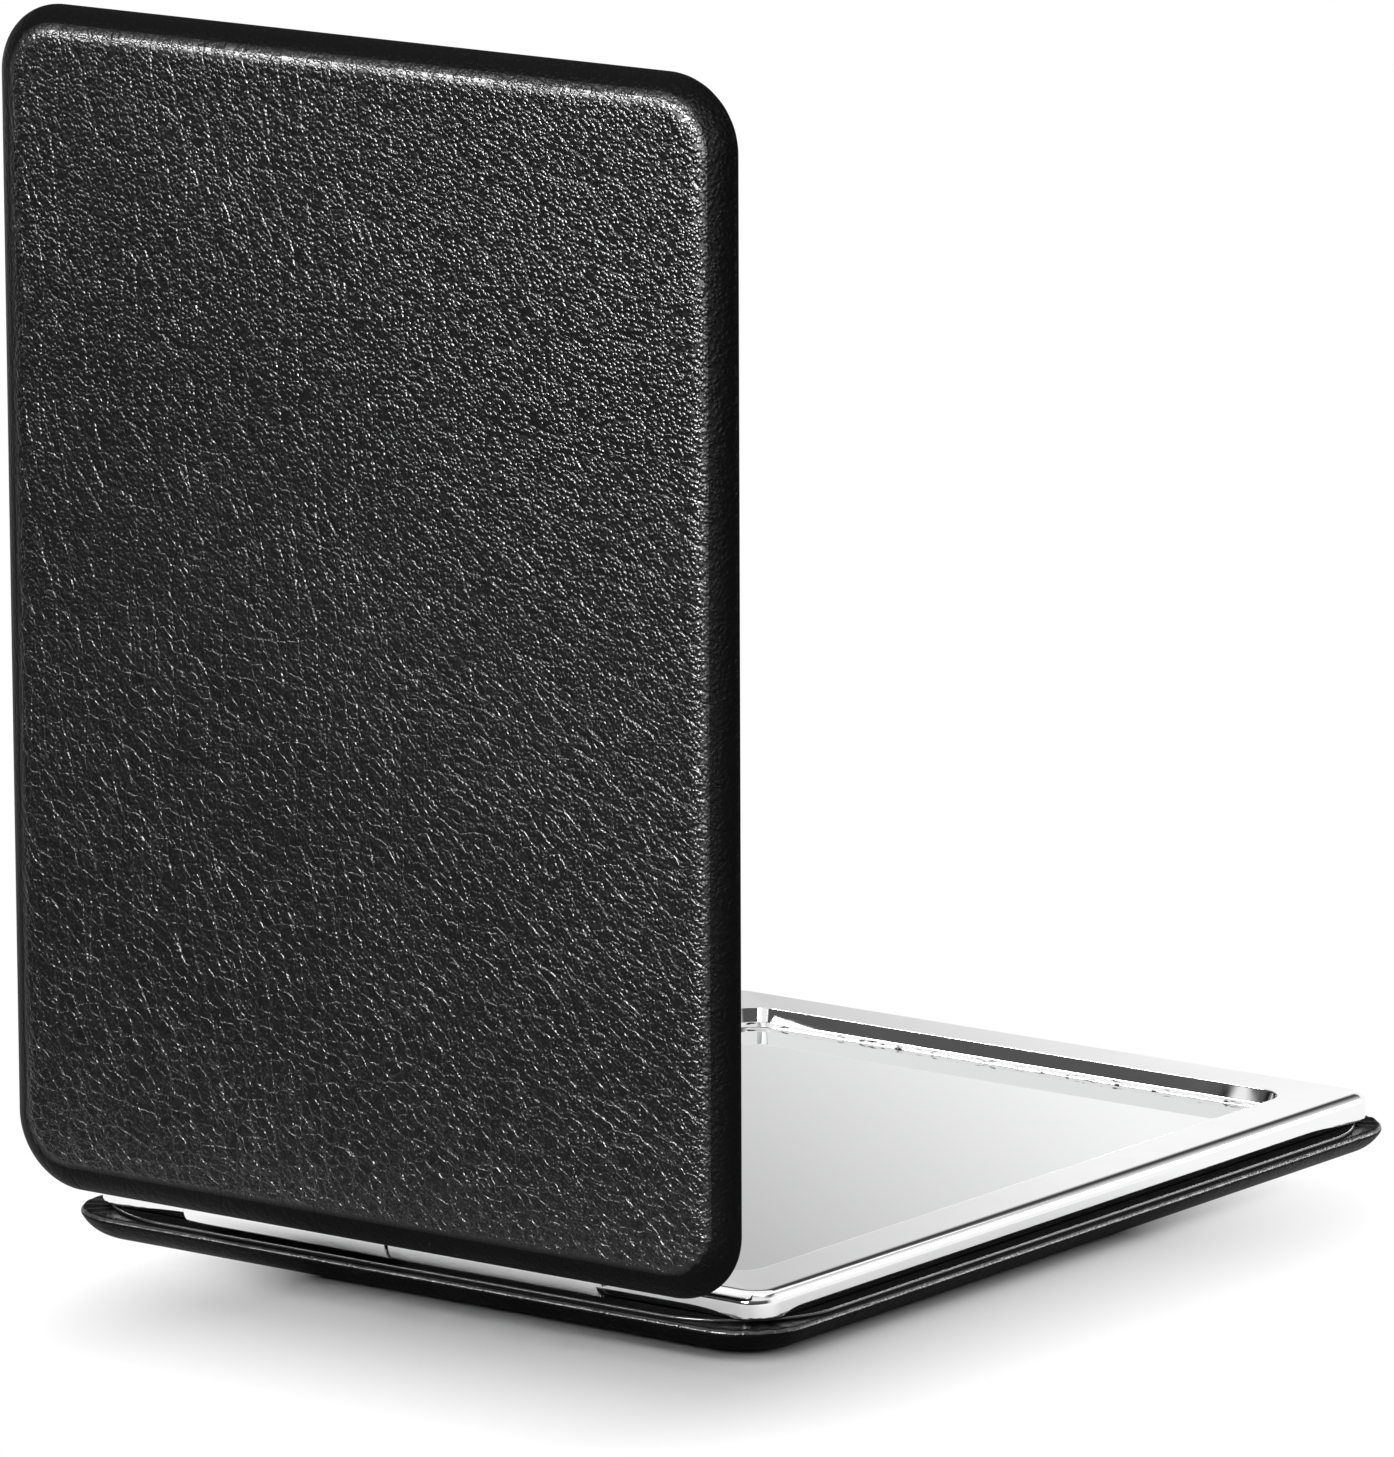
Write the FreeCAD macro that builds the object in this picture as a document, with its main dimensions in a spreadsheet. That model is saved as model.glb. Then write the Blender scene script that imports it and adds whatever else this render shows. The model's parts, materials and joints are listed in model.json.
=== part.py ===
import FreeCAD, Part
import os

import Sketcher

# A folding pocket mirror: two leather-covered halves, each with a polished rim frame and a mirror pane,
# on one hinge along a short side. The base lies flat and the lid stands open.
# The origin is the centre of the base's underside, X runs along the hinge, Y away from it and Z up.

# Driving dimensions, in millimetres and degrees.
DIMENSIONS = {
    # the leather-covered pad of one half, seen from above
    "case_width": 62.0,
    "case_length": 85.8,
    "case_corner": 5.2,
    # layers of the pad, from the outer face inwards
    "leather_thick": 0.45,
    "foam_thick": 0.35,
    "board_thick": 0.8,
    "lining_thick": 0.25,
    "tape_thick": 0.08,
    # shape of the pad's edge
    "edge_roll": 1.5,
    "turn_round": 0.3,
    "foam_setback": 1.4,
    "lining_setback": 0.4,
    "nest_clearance": 0.05,
    # rim frame
    "rim_inset": 1.66,
    "rim_hinge_inset": 2.3,
    "rim_width": 4.75,
    "rim_height": 1.95,
    "rim_corner": 2.2,
    "rim_round": 0.7,
    "opening_corner": 3.6,
    "opening_round": 0.2,
    "lip_width": 0.5,
    "lip_thick": 0.45,
    "lip_bevel": 0.38,
    "frame_tape_inset": 0.4,
    # mirror pane and the tape under it
    "pane_thick": 0.9,
    "pane_overlap": 0.7,
    "pane_clearance": 0.15,
    "pane_arris": 0.12,
    "pane_tape_thick": 0.3,
    "pane_tape_inset": 1.5,
    "lip_clearance": 0.02,
    "window_margin": 0.1,
    # hinge
    "axis_offset": 0.5,
    "closing_gap": 0.1,
    "knuckle_radius": 1.3,
    "knuckle_reach": 18.0,
    "knuckle_gap": 0.3,
    "knuckle_chamfer": 0.12,
    "web_drop": 0.3,
    "web_thick": 0.75,
    "web_root": 1.2,
    "web_setback": 0.4,
    "pin_radius": 0.5,
    "pin_snug": 0.01,
    "pin_running": 0.04,
    "pin_inset": 0.2,
    "pin_chamfer": 0.12,
    "open_angle": 92.0,
    # closing magnets in the free side of the frame
    "magnet_radius": 1.5,
    "magnet_thick": 1.1,
    "magnet_clearance": 0.05,
    "magnet_side": 9.3,
}

HALVES = ("base", "lid")
SIDES = {"left": -1, "right": 1}
TOUCH = 1e-4

doc = FreeCAD.newDocument("compact_mirror")
sheet = doc.addObject("Spreadsheet::Sheet", "dims")
for row, (alias, value) in enumerate(DIMENSIONS.items(), start=1):
    sheet.set(f"A{row}", alias)
    sheet.set(f"B{row}", str(value))
    sheet.setAlias(f"B{row}", alias)
doc.recompute()


def size(expression):
    """The present value of an expression on the sheet."""
    return float(sheet.evalExpression(expression))


# Outlines are rounded rectangles: half width, reach towards the hinge, reach away from it, corner radius.
def grown(outline, amount):
    """The outline moved outwards on all sides, with its corners kept concentric."""
    return tuple(f"({reach} + {amount})" for reach in outline)


def shrunk(outline, amount):
    """The outline moved inwards on all sides, with its corners kept concentric."""
    return tuple(f"({reach} - {amount})" for reach in outline)


CASE = ("dims.case_width / 2", "dims.case_length / 2", "dims.case_length / 2", "dims.case_corner")
BOARD_NEST = shrunk(CASE, "dims.leather_thick")
FOAM_NEST = shrunk(CASE, "dims.foam_setback")
LINING = shrunk(CASE, "dims.lining_setback")
RIM = (
    "(dims.case_width / 2 - dims.rim_inset)",
    "(dims.case_length / 2 - dims.rim_hinge_inset)",
    "(dims.case_length / 2 - dims.rim_inset)",
    "dims.rim_corner",
)
RIM_FLAT = shrunk(RIM, "dims.rim_round")
OPENING = shrunk(RIM, "dims.rim_width")[:3] + ("dims.opening_corner",)
LIP = shrunk(OPENING, "dims.lip_width")
PANE = grown(LIP, "dims.pane_overlap")
REBATE = grown(PANE, "dims.pane_clearance")
WINDOW = grown(REBATE, "dims.window_margin")

# Heights above the base's underside.
BOARD_BOTTOM = "(dims.leather_thick + dims.foam_thick)"
BOARD_TOP = f"({BOARD_BOTTOM} + dims.board_thick)"
COVER_TOP = f"({BOARD_TOP} + dims.leather_thick)"
LINING_TOP = f"({COVER_TOP} + dims.lining_thick)"
RIM_BOTTOM = f"({LINING_TOP} + dims.tape_thick)"
RIM_TOP = f"({RIM_BOTTOM} + dims.rim_height)"
PANE_BOTTOM = f"({BOARD_TOP} + dims.pane_tape_thick)"
LIP_BOTTOM = f"({PANE_BOTTOM} + dims.pane_thick + dims.lip_clearance)"
LIP_TOP = f"({LIP_BOTTOM} + dims.lip_thick)"

# The hinge axis is parallel to X, just outside the pad and half the closing gap above the rim.
AXIS_Y = "(-dims.case_length / 2 - dims.axis_offset)"
AXIS_Z = f"({RIM_TOP} + dims.closing_gap / 2)"

# The magnets stand midway between the pane's rebate and the outside of the frame's free side.
MAGNET_Y = f"(({RIM[2]} + {REBATE[2]}) / 2)"


def magnet_x(side):
    """How far one magnet stands from the middle, set by its distance from the frame's side."""
    return f"({SIDES[side]} * ({RIM[0]} - dims.magnet_side))"


def vector(x, y, z):
    """An expression for a vector."""
    return f"create(<<vector>>; {x}; {y}; {z})"


def turn_and_move(x, y, z, axis, angle):
    """An expression for a placement that turns about an axis and then moves to x, y, z."""
    turn = f"create(<<rotation>>; {vector(*axis)}; {angle})"
    return f"create(<<placement>>; {vector(x, y, z)}; {turn})"


# The lid is the base turned end for end about the hinge's middle and folded up to the open angle.
HALF_PLACE = {
    "base": turn_and_move("0", "0", "0", (0, 0, 1), "0"),
    "lid": " * ".join(
        (
            turn_and_move("0", AXIS_Y, AXIS_Z, (1, 0, 0), "(dims.open_angle - 180)"),
            turn_and_move("0", "0", "0", (0, 0, 1), "180"),
            turn_and_move("0", f"-{AXIS_Y}", f"-{AXIS_Z}", (0, 0, 1), "0"),
        )
    ),
}


def new_body(half, piece):
    """An empty body for one piece, placed with its half of the mirror."""
    body = doc.addObject("PartDesign::Body", f"{half}_{piece}")
    body.Label = f"{half}_{piece}"
    body.setExpression("Placement", HALF_PLACE[half])
    return body


def new_sketch(body, name, role, offset):
    """A sketch parallel to one of the body's origin planes, at an offset along its normal."""
    sketch = body.newObject("Sketcher::SketchObject", f"{body.Label}_{name}")
    plane = next(feature for feature in body.Origin.OriginFeatures if feature.Role == role)
    sketch.AttachmentSupport = [(plane, "")]
    sketch.MapMode = "FlatFace"
    sketch.setExpression("AttachmentOffset.Base.z", offset)
    return sketch


def drive(sketch, constraint, name, expression):
    """Add a dimension to a sketch and bind it to the sheet."""
    index = sketch.addConstraint(constraint)
    sketch.renameConstraint(index, name)
    sketch.setExpression(f"Constraints.{name}", expression)


def draw_outline(sketch, tag, outline):
    """Draw a rounded rectangle, even on both sides of the Y axis, as four lines and four corner arcs."""
    half, near, far, corner = (size(expression) for expression in outline)
    flat, low, high = half - corner, corner - near, far - corner
    up = FreeCAD.Vector(0, 0, 1)
    ends = (
        ((-flat, -near), (flat, -near)),
        ((half, low), (half, high)),
        ((flat, far), (-flat, far)),
        ((-half, high), (-half, low)),
    )
    centres = ((flat, low), (flat, high), (-flat, high), (-flat, low))
    quarter = FreeCAD.Units.parseQuantity("90 deg").getValueAs("rad").Value
    lines, arcs = [], []
    for number, ((start, end), centre) in enumerate(zip(ends, centres)):
        line = Part.LineSegment(FreeCAD.Vector(*start, 0), FreeCAD.Vector(*end, 0))
        lines.append(sketch.addGeometry(line, False))
        circle = Part.Circle(FreeCAD.Vector(*centre, 0), up, corner)
        arc = Part.ArcOfCircle(circle, (number - 1) * quarter, number * quarter)
        arcs.append(sketch.addGeometry(arc, False))
    for number in range(4):
        following = (number + 1) % 4
        sketch.addConstraint(Sketcher.Constraint("Tangent", lines[number], 2, arcs[number], 1))
        sketch.addConstraint(Sketcher.Constraint("Tangent", arcs[number], 2, lines[following], 1))
        if following:
            sketch.addConstraint(Sketcher.Constraint("Equal", arcs[number], arcs[following]))
    sketch.addConstraint(Sketcher.Constraint("Symmetric", lines[0], 1, lines[0], 2, -2))
    sketch.addConstraint(Sketcher.Constraint("Vertical", lines[1]))
    sketch.addConstraint(Sketcher.Constraint("Horizontal", lines[2]))
    sketch.addConstraint(Sketcher.Constraint("Vertical", lines[3]))
    drive(sketch, Sketcher.Constraint("DistanceX", -1, 1, lines[1], 1, half), f"{tag}_half", outline[0])
    drive(sketch, Sketcher.Constraint("DistanceY", lines[0], 1, -1, 1, near), f"{tag}_near", outline[1])
    drive(sketch, Sketcher.Constraint("DistanceY", -1, 1, lines[2], 1, far), f"{tag}_far", outline[2])
    drive(sketch, Sketcher.Constraint("Radius", arcs[0], corner), f"{tag}_corner", outline[3])


def draw_circle(sketch, tag, across, along, radius):
    """Draw a circle at a place given by two expressions, each positive or negative."""
    x, y = size(across), size(along)
    circle = Part.Circle(FreeCAD.Vector(x, y, 0), FreeCAD.Vector(0, 0, 1), size(radius))
    index = sketch.addGeometry(circle, False)
    drive(sketch, Sketcher.Constraint("Radius", index, size(radius)), f"{tag}_radius", radius)
    for kind, name, place, value in (("DistanceX", "across", across, x), ("DistanceY", "along", along, y)):
        points = (-1, 1, index, 3) if value > 0 else (index, 3, -1, 1)
        bound = place if value > 0 else f"-{place}"
        drive(sketch, Sketcher.Constraint(kind, *points, abs(value)), f"{tag}_{name}", bound)


def draw_box(sketch, tag, low_across, high_across, low_along, high_along):
    """Draw a rectangle left of the sketch's upright axis and above its level axis."""
    left, right, bottom, top = (size(e) for e in (low_across, high_across, low_along, high_along))
    corners = [(left, bottom), (right, bottom), (right, top), (left, top)]
    points = [FreeCAD.Vector(x, y, 0) for x, y in corners]
    lines = [
        sketch.addGeometry(Part.LineSegment(start, end), False)
        for start, end in zip(points, points[1:] + points[:1])
    ]
    for number in range(4):
        following = lines[(number + 1) % 4]
        sketch.addConstraint(Sketcher.Constraint("Coincident", lines[number], 2, following, 1))
        direction = "Vertical" if number % 2 else "Horizontal"
        sketch.addConstraint(Sketcher.Constraint(direction, lines[number]))
    left_side = Sketcher.Constraint("DistanceX", lines[0], 1, -1, 1, -left)
    right_side = Sketcher.Constraint("DistanceX", lines[0], 2, -1, 1, -right)
    lower_side = Sketcher.Constraint("DistanceY", -1, 1, lines[0], 1, bottom)
    upper_side = Sketcher.Constraint("DistanceY", -1, 1, lines[2], 1, top)
    drive(sketch, left_side, f"{tag}_left", f"-{low_across}")
    drive(sketch, right_side, f"{tag}_right", f"-{high_across}")
    drive(sketch, lower_side, f"{tag}_bottom", low_along)
    drive(sketch, upper_side, f"{tag}_top", high_along)


def pad(body, sketch, length, backwards=False):
    """Raise a sketch by a length along its normal, or against it."""
    feature = body.newObject("PartDesign::Pad", f"{sketch.Label}_pad")
    feature.Profile = sketch
    feature.Reversed = backwards
    feature.setExpression("Length", length)
    doc.recompute()
    return feature


def pocket(body, sketch, depth, upwards=False):
    """Cut a sketch into the body, downwards or upwards, and make sure that material came away."""
    before = body.Shape.Volume
    feature = body.newObject("PartDesign::Pocket", f"{sketch.Label}_pocket")
    feature.Profile = sketch
    feature.Reversed = upwards
    feature.setExpression("Length", depth)
    doc.recompute()
    if body.Shape.Volume >= before:
        raise RuntimeError(f"{feature.Label} cuts nothing")
    return feature


def level_edges(feature, level, outline, outside):
    """Names of the edges at one height that lie on an outline's outer sides, or that lie inside them."""
    height = size(level)
    half, near, far, _ = (size(expression) for expression in outline)
    names = []
    for number, edge in enumerate(feature.Shape.Edges, start=1):
        box = edge.BoundBox
        is_level = abs(box.ZMin - height) < TOUCH and abs(box.ZMax - height) < TOUCH
        reaches = (box.XMax - half, -box.XMin - half, box.YMax - far, -box.YMin - near)
        if is_level and (max(reaches) > -TOUCH) == outside:
            names.append(f"Edge{number}")
    return names


def dress(body, kind, base, edges, expression):
    """Round or chamfer the named edges of a feature."""
    feature = body.newObject(f"PartDesign::{kind}", f"{base.Label}_{kind.lower()}")
    feature.Base = (base, edges)
    feature.setExpression("Radius" if kind == "Fillet" else "Size", expression)
    doc.recompute()
    return feature


def plate(half, piece, outline, bottom, thickness):
    """A flat piece with a rounded outline."""
    body = new_body(half, piece)
    sketch = new_sketch(body, "outline", "XY_Plane", bottom)
    draw_outline(sketch, "outline", outline)
    return body, pad(body, sketch, thickness)


def ring(half, piece, outline, window, bottom, thickness):
    """A flat piece with a rounded outline and a rounded window."""
    body = new_body(half, piece)
    sketch = new_sketch(body, "ring", "XY_Plane", bottom)
    draw_outline(sketch, "outline", outline)
    draw_outline(sketch, "window", window)
    return body, pad(body, sketch, thickness)


def leather_cover(half):
    """The wrapped skin: outer face, rolled edge and the border turned in over the board."""
    body, _ = plate(half, "leather_cover", CASE, "0", BOARD_TOP)
    board_nest = new_sketch(body, "board_nest", "XY_Plane", BOARD_TOP)
    draw_outline(board_nest, "nest", BOARD_NEST)
    pocket(body, board_nest, "dims.board_thick")
    foam_nest = new_sketch(body, "foam_nest", "XY_Plane", BOARD_BOTTOM)
    draw_outline(foam_nest, "nest", FOAM_NEST)
    pocket(body, foam_nest, "dims.foam_thick")
    border = new_sketch(body, "border", "XY_Plane", BOARD_TOP)
    draw_outline(border, "outline", CASE)
    draw_outline(border, "window", WINDOW)
    wrapped = pad(body, border, "dims.leather_thick")
    outer_edges = level_edges(wrapped, "0", CASE, outside=True)
    rolled = dress(body, "Fillet", wrapped, outer_edges, "dims.edge_roll")
    turned_edges = level_edges(rolled, COVER_TOP, CASE, outside=True)
    dress(body, "Fillet", rolled, turned_edges, "dims.turn_round")
    return body


def foam_pad(half):
    """The padding sheet between the cover's outer face and the board."""
    outline = shrunk(FOAM_NEST, "dims.nest_clearance")
    return plate(half, "foam_pad", outline, "dims.leather_thick", "dims.foam_thick")[0]


def stiffener_board(half):
    """The panel that the cover is wrapped round."""
    outline = shrunk(BOARD_NEST, "dims.nest_clearance")
    return plate(half, "stiffener_board", outline, BOARD_BOTTOM, "dims.board_thick")[0]


def lining_sheet(half):
    """The facing over the turned-in border, set back from the rolled edge."""
    return ring(half, "lining_sheet", LINING, WINDOW, COVER_TOP, "dims.lining_thick")[0]


def frame_tape(half):
    """The adhesive ring that holds the frame on the lining."""
    outline = shrunk(RIM, "dims.frame_tape_inset")
    return ring(half, "frame_tape", outline, WINDOW, LINING_TOP, "dims.tape_thick")[0]


def chrome_frame(half, bore_clearance):
    """The polished rim with its bevelled lip, the pane's rebate, magnet pockets and hinge knuckle."""
    body, _ = ring(half, "chrome_frame", RIM, LIP, RIM_BOTTOM, "dims.rim_height")
    opening = new_sketch(body, "opening", "XY_Plane", RIM_TOP)
    draw_outline(opening, "opening", OPENING)
    pocket(body, opening, f"({RIM_TOP} - {LIP_TOP})")
    rebate = new_sketch(body, "rebate", "XY_Plane", RIM_BOTTOM)
    draw_outline(rebate, "rebate", REBATE)
    pocket(body, rebate, f"({LIP_BOTTOM} - {RIM_BOTTOM})", upwards=True)

    magnets = new_sketch(body, "magnets", "XY_Plane", RIM_BOTTOM)
    for side in SIDES:
        draw_circle(magnets, side, magnet_x(side), MAGNET_Y, "(dims.magnet_radius + dims.magnet_clearance)")
    hollowed = pocket(body, magnets, "(dims.magnet_thick + dims.magnet_clearance)", upwards=True)

    lip_edges = level_edges(hollowed, LIP_TOP, OPENING, outside=False)
    bevelled = dress(body, "Chamfer", hollowed, lip_edges, "dims.lip_bevel")
    outer_edges = level_edges(bevelled, RIM_TOP, RIM, outside=True)
    rounded = dress(body, "Fillet", bevelled, outer_edges, "dims.rim_round")
    inner_edges = level_edges(rounded, RIM_TOP, RIM_FLAT, outside=False)
    dress(body, "Fillet", rounded, inner_edges, "dims.opening_round")

    length = "(dims.knuckle_reach - dims.knuckle_gap / 2)"
    web = new_sketch(body, "web", "YZ_Plane", "(-dims.knuckle_gap / 2 - dims.web_setback)")
    root = f"(-{RIM[1]} + dims.web_root)"
    web_top = f"({AXIS_Z} - dims.web_drop)"
    draw_box(web, "web", AXIS_Y, root, f"({web_top} - dims.web_thick)", web_top)
    pad(body, web, f"({length} - 2 * dims.web_setback)", backwards=True)
    barrel = new_sketch(body, "barrel", "YZ_Plane", "(-dims.knuckle_gap / 2)")
    draw_circle(barrel, "barrel", AXIS_Y, AXIS_Z, "dims.knuckle_radius")
    pad(body, barrel, length, backwards=True)
    bore = new_sketch(body, "bore", "YZ_Plane", "(-dims.knuckle_gap / 2)")
    draw_circle(bore, "bore", AXIS_Y, AXIS_Z, f"(dims.pin_radius + {bore_clearance})")
    bored = pocket(body, bore, length)
    dress(body, "Chamfer", bored, knuckle_end_edges(bored), "dims.knuckle_chamfer")
    return body


def knuckle_end_edges(feature):
    """Names of the round edges at the knuckle's outer end."""
    reach = -size("dims.knuckle_reach")
    radius = size("dims.knuckle_radius")
    names = []
    for number, edge in enumerate(feature.Shape.Edges, start=1):
        box = edge.BoundBox
        at_end = abs(box.XMin - reach) < TOUCH and abs(box.XMax - reach) < TOUCH
        if at_end and isinstance(edge.Curve, Part.Circle) and abs(edge.Curve.Radius - radius) < TOUCH:
            names.append(f"Edge{number}")
    return names


def mirror_tape(half):
    """The adhesive sheet under the pane."""
    outline = shrunk(PANE, "dims.pane_tape_inset")
    return plate(half, "mirror_tape", outline, BOARD_TOP, "dims.pane_tape_thick")[0]


def mirror_glass(half):
    """The mirror pane, with its upper edge ground off."""
    body, pane = plate(half, "mirror_glass", PANE, PANE_BOTTOM, "dims.pane_thick")
    upper = level_edges(pane, f"({PANE_BOTTOM} + dims.pane_thick)", PANE, outside=True)
    dress(body, "Chamfer", pane, upper, "dims.pane_arris")
    return body


def magnet(half, side):
    """A disc magnet in its pocket, flush with the underside of the frame."""
    disc = doc.addObject("Part::Cylinder", f"{half}_magnet_{side}")
    disc.Label = f"{half}_magnet_{side}"
    disc.setExpression("Radius", "dims.magnet_radius")
    disc.setExpression("Height", "dims.magnet_thick")
    place = turn_and_move(magnet_x(side), MAGNET_Y, RIM_BOTTOM, (0, 0, 1), "0")
    disc.setExpression("Placement", f"{HALF_PLACE[half]} * {place}")
    return disc


def hinge_pin():
    """The pin through both knuckles, with chamfered ends."""
    body = doc.addObject("PartDesign::Body", "hinge_pin")
    body.Label = "hinge_pin"
    reach = "(dims.knuckle_reach - dims.pin_inset)"
    section = new_sketch(body, "section", "YZ_Plane", f"-{reach}")
    draw_circle(section, "section", AXIS_Y, AXIS_Z, "dims.pin_radius")
    rod = pad(body, section, f"(2 * {reach})")
    rims = [
        f"Edge{number}"
        for number, edge in enumerate(rod.Shape.Edges, start=1)
        if isinstance(edge.Curve, Part.Circle)
    ]
    dress(body, "Chamfer", rod, rims, "dims.pin_chamfer")
    return body


BORE_CLEARANCE = {"base": "dims.pin_snug", "lid": "dims.pin_running"}

pieces = []
for half in HALVES:
    pieces += [
        leather_cover(half),
        foam_pad(half),
        stiffener_board(half),
        lining_sheet(half),
        frame_tape(half),
        chrome_frame(half, BORE_CLEARANCE[half]),
        mirror_tape(half),
        mirror_glass(half),
    ]
    pieces += [magnet(half, side) for side in SIDES]
pieces.append(hinge_pin())
doc.recompute()

for item in doc.Objects:
    if "Invalid" in item.State or "Error" in item.State:
        raise RuntimeError(f"{item.Label} failed to build")
for piece in pieces:
    if piece.Shape.isNull() or not piece.Shape.isValid() or len(piece.Shape.Solids) != 1:
        raise RuntimeError(f"{piece.Label} is not one sound solid")

os.makedirs("parts", exist_ok=True)
for piece in pieces:
    piece.Shape.exportStep(f"parts/{piece.Label}.step")
    box = piece.Shape.BoundBox
    sides = " x ".join(f"{side:.2f}" for side in (box.XLength, box.YLength, box.ZLength))
    print(f"{piece.Label}: {piece.Shape.Volume:.1f} mm3, {sides} mm")
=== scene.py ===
# %% [markdown]
# A folding pocket mirror, dressed in Blender.
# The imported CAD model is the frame: it says where every piece is and how the lid turns.
# This lesson keeps the hard inner pieces as they are, and makes the soft and the polished ones anew as
# surfaces worked out with numpy, because grained leather and mirror-bright metal show every facet.

# %% Load the frame
import json
import math

import bmesh
import bpy
import numpy as np
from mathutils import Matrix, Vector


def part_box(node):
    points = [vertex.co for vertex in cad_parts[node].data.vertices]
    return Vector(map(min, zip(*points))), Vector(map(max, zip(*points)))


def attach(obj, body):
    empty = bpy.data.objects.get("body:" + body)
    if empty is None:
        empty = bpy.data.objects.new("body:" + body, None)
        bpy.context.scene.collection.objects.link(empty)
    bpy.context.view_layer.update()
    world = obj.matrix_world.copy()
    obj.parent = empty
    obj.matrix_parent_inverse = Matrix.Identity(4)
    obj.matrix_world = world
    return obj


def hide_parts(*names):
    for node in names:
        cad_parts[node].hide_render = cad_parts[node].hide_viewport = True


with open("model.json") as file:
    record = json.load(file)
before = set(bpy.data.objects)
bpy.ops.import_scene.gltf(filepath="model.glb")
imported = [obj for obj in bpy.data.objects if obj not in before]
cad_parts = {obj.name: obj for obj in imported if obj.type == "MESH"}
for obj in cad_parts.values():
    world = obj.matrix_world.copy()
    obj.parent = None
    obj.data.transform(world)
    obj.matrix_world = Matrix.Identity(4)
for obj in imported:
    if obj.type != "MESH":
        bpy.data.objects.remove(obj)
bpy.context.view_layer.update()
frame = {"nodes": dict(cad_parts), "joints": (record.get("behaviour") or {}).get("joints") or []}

# %% [markdown]
# The two halves are the same piece of work, so each shape is worked out once, in millimetres, as it lies in
# the base: outer face down, hinge towards -Y.
# The lid is that shape turned end for end and swung up about the hinge line, which the joint gives us.
# Doing the turn on the points, and not on the object, leaves every object at the origin.

# %% Halves and lengths
MM = 0.001
HALVES = ("base", "lid")
hinge = frame["joints"][0]
AXIS_Y, AXIS_Z = (value / MM for value in hinge["pos_m"][1:])
OPEN_ANGLE = -hinge["range_deg"][0]


def place(points, half):
    """Millimetres in a half's own frame to metres in the part's frame.

    The lid's points are mirrored through the hinge's middle in X and Y, which is a half turn about Z, and
    then turned about the hinge line by the open angle less a half turn.
    """
    x, y, z = np.moveaxis(points, -1, 0)
    if half == "lid":
        swing = math.radians(OPEN_ANGLE - 180)
        out, rise = AXIS_Y - y, z - AXIS_Z
        x = -x
        y = AXIS_Y + out * math.cos(swing) - rise * math.sin(swing)
        z = AXIS_Z + out * math.sin(swing) + rise * math.cos(swing)
    return np.stack([x, y, z], -1) * MM


def node_box(node):
    """A CAD node's lowest and highest corner, in millimetres."""
    return tuple(np.array(corner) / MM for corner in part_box(node))


print(f"hinge line at y {AXIS_Y:.2f}, z {AXIS_Z:.2f} mm, lid open by {OPEN_ANGLE:.0f} degrees")

# %% [markdown]
# A mesh needs points and faces.
# When the points come from a grid, their numbers form a table, and every face is four neighbours in it, so
# all faces are cut out of the table at once.
# Blender then turns the faces of each closed shell outwards, which spares us from watching the order.

# %% From tables to meshes


def quads(table, around=False, along=False):
    """Faces between neighbouring entries of a table of point numbers, closed across or down if asked."""
    if around:
        table = np.concatenate([table, table[:, :1]], axis=1)
    if along:
        table = np.concatenate([table, table[:1]], axis=0)
    corners = [table[:-1, :-1], table[:-1, 1:], table[1:, 1:], table[1:, :-1]]
    return np.stack(corners, -1).reshape(-1, 4)


def make_piece(name, points, faces, half, replaces, materials):
    """A finished piece: points in a half's millimetres, faces as point numbers, riding on that half."""
    mesh = bpy.data.meshes.new(name)
    mesh.from_pydata(place(points, half).tolist(), [], [face for group in faces for face in group.tolist()])
    shell = bmesh.new()
    shell.from_mesh(mesh)
    bmesh.ops.recalc_face_normals(shell, faces=shell.faces)
    shell.to_mesh(mesh)
    shell.free()
    mesh.polygons.foreach_set("use_smooth", np.ones(len(mesh.polygons), bool))
    for material in materials:
        mesh.materials.append(material)
    piece = bpy.data.objects.new(name, mesh)
    bpy.context.scene.collection.objects.link(piece)
    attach(piece, half)
    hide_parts(replaces)
    print(f"{name}: {len(mesh.vertices)} points, {len(mesh.polygons)} faces")
    return piece


print("mesh helpers ready")

# %% [markdown]
# Every finish is a Principled shader with a few texture nodes in front of it.
# Making nodes one by one fills pages, so small helpers make a material, a wired node and the few sums that
# come back again and again.
# What is the same all over goes straight into the shader's own sockets.

# %% Material helpers


def new_material(name, **sockets):
    """A Principled material with some of its sockets set; words in a name are joined by underscores."""
    material = bpy.data.materials.new(name)
    material.use_nodes = True
    shader = material.node_tree.nodes["Principled BSDF"]
    for socket, value in sockets.items():
        shader.inputs[socket.replace("_", " ")].default_value = value
    return material, shader


def add_node(material, kind, inputs=None, **settings):
    """A node with its settings, and with each input set to a value or wired to another node's output."""
    tree = material.node_tree
    made = tree.nodes.new(kind)
    for setting, value in settings.items():
        setattr(made, setting, value)
    for key, value in (inputs or {}).items():
        if isinstance(value, bpy.types.NodeSocket):
            tree.links.new(value, made.inputs[key])
        else:
            made.inputs[key].default_value = value
    return made


def wire(material, source, target):
    """Join an output socket to an input socket."""
    material.node_tree.links.new(source, target)


def spread(material, value, low, high, from_low=0.0, from_high=1.0):
    """Stretch a value from one range to another, and hold it at the ends."""
    limits = {"From Min": from_low, "From Max": from_high, "To Min": low, "To Max": high}
    return add_node(material, "ShaderNodeMapRange", {"Value": value, **limits}).outputs["Result"]


def weigh(material, operation, first, second):
    """One step of arithmetic on two values."""
    return add_node(material, "ShaderNodeMath", {0: first, 1: second}, operation=operation).outputs[0]


def scaled(material, vector, factors):
    """A vector times another, part by part."""
    parts = {0: vector, 1: factors}
    return add_node(material, "ShaderNodeVectorMath", parts, operation="MULTIPLY").outputs[0]


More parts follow.
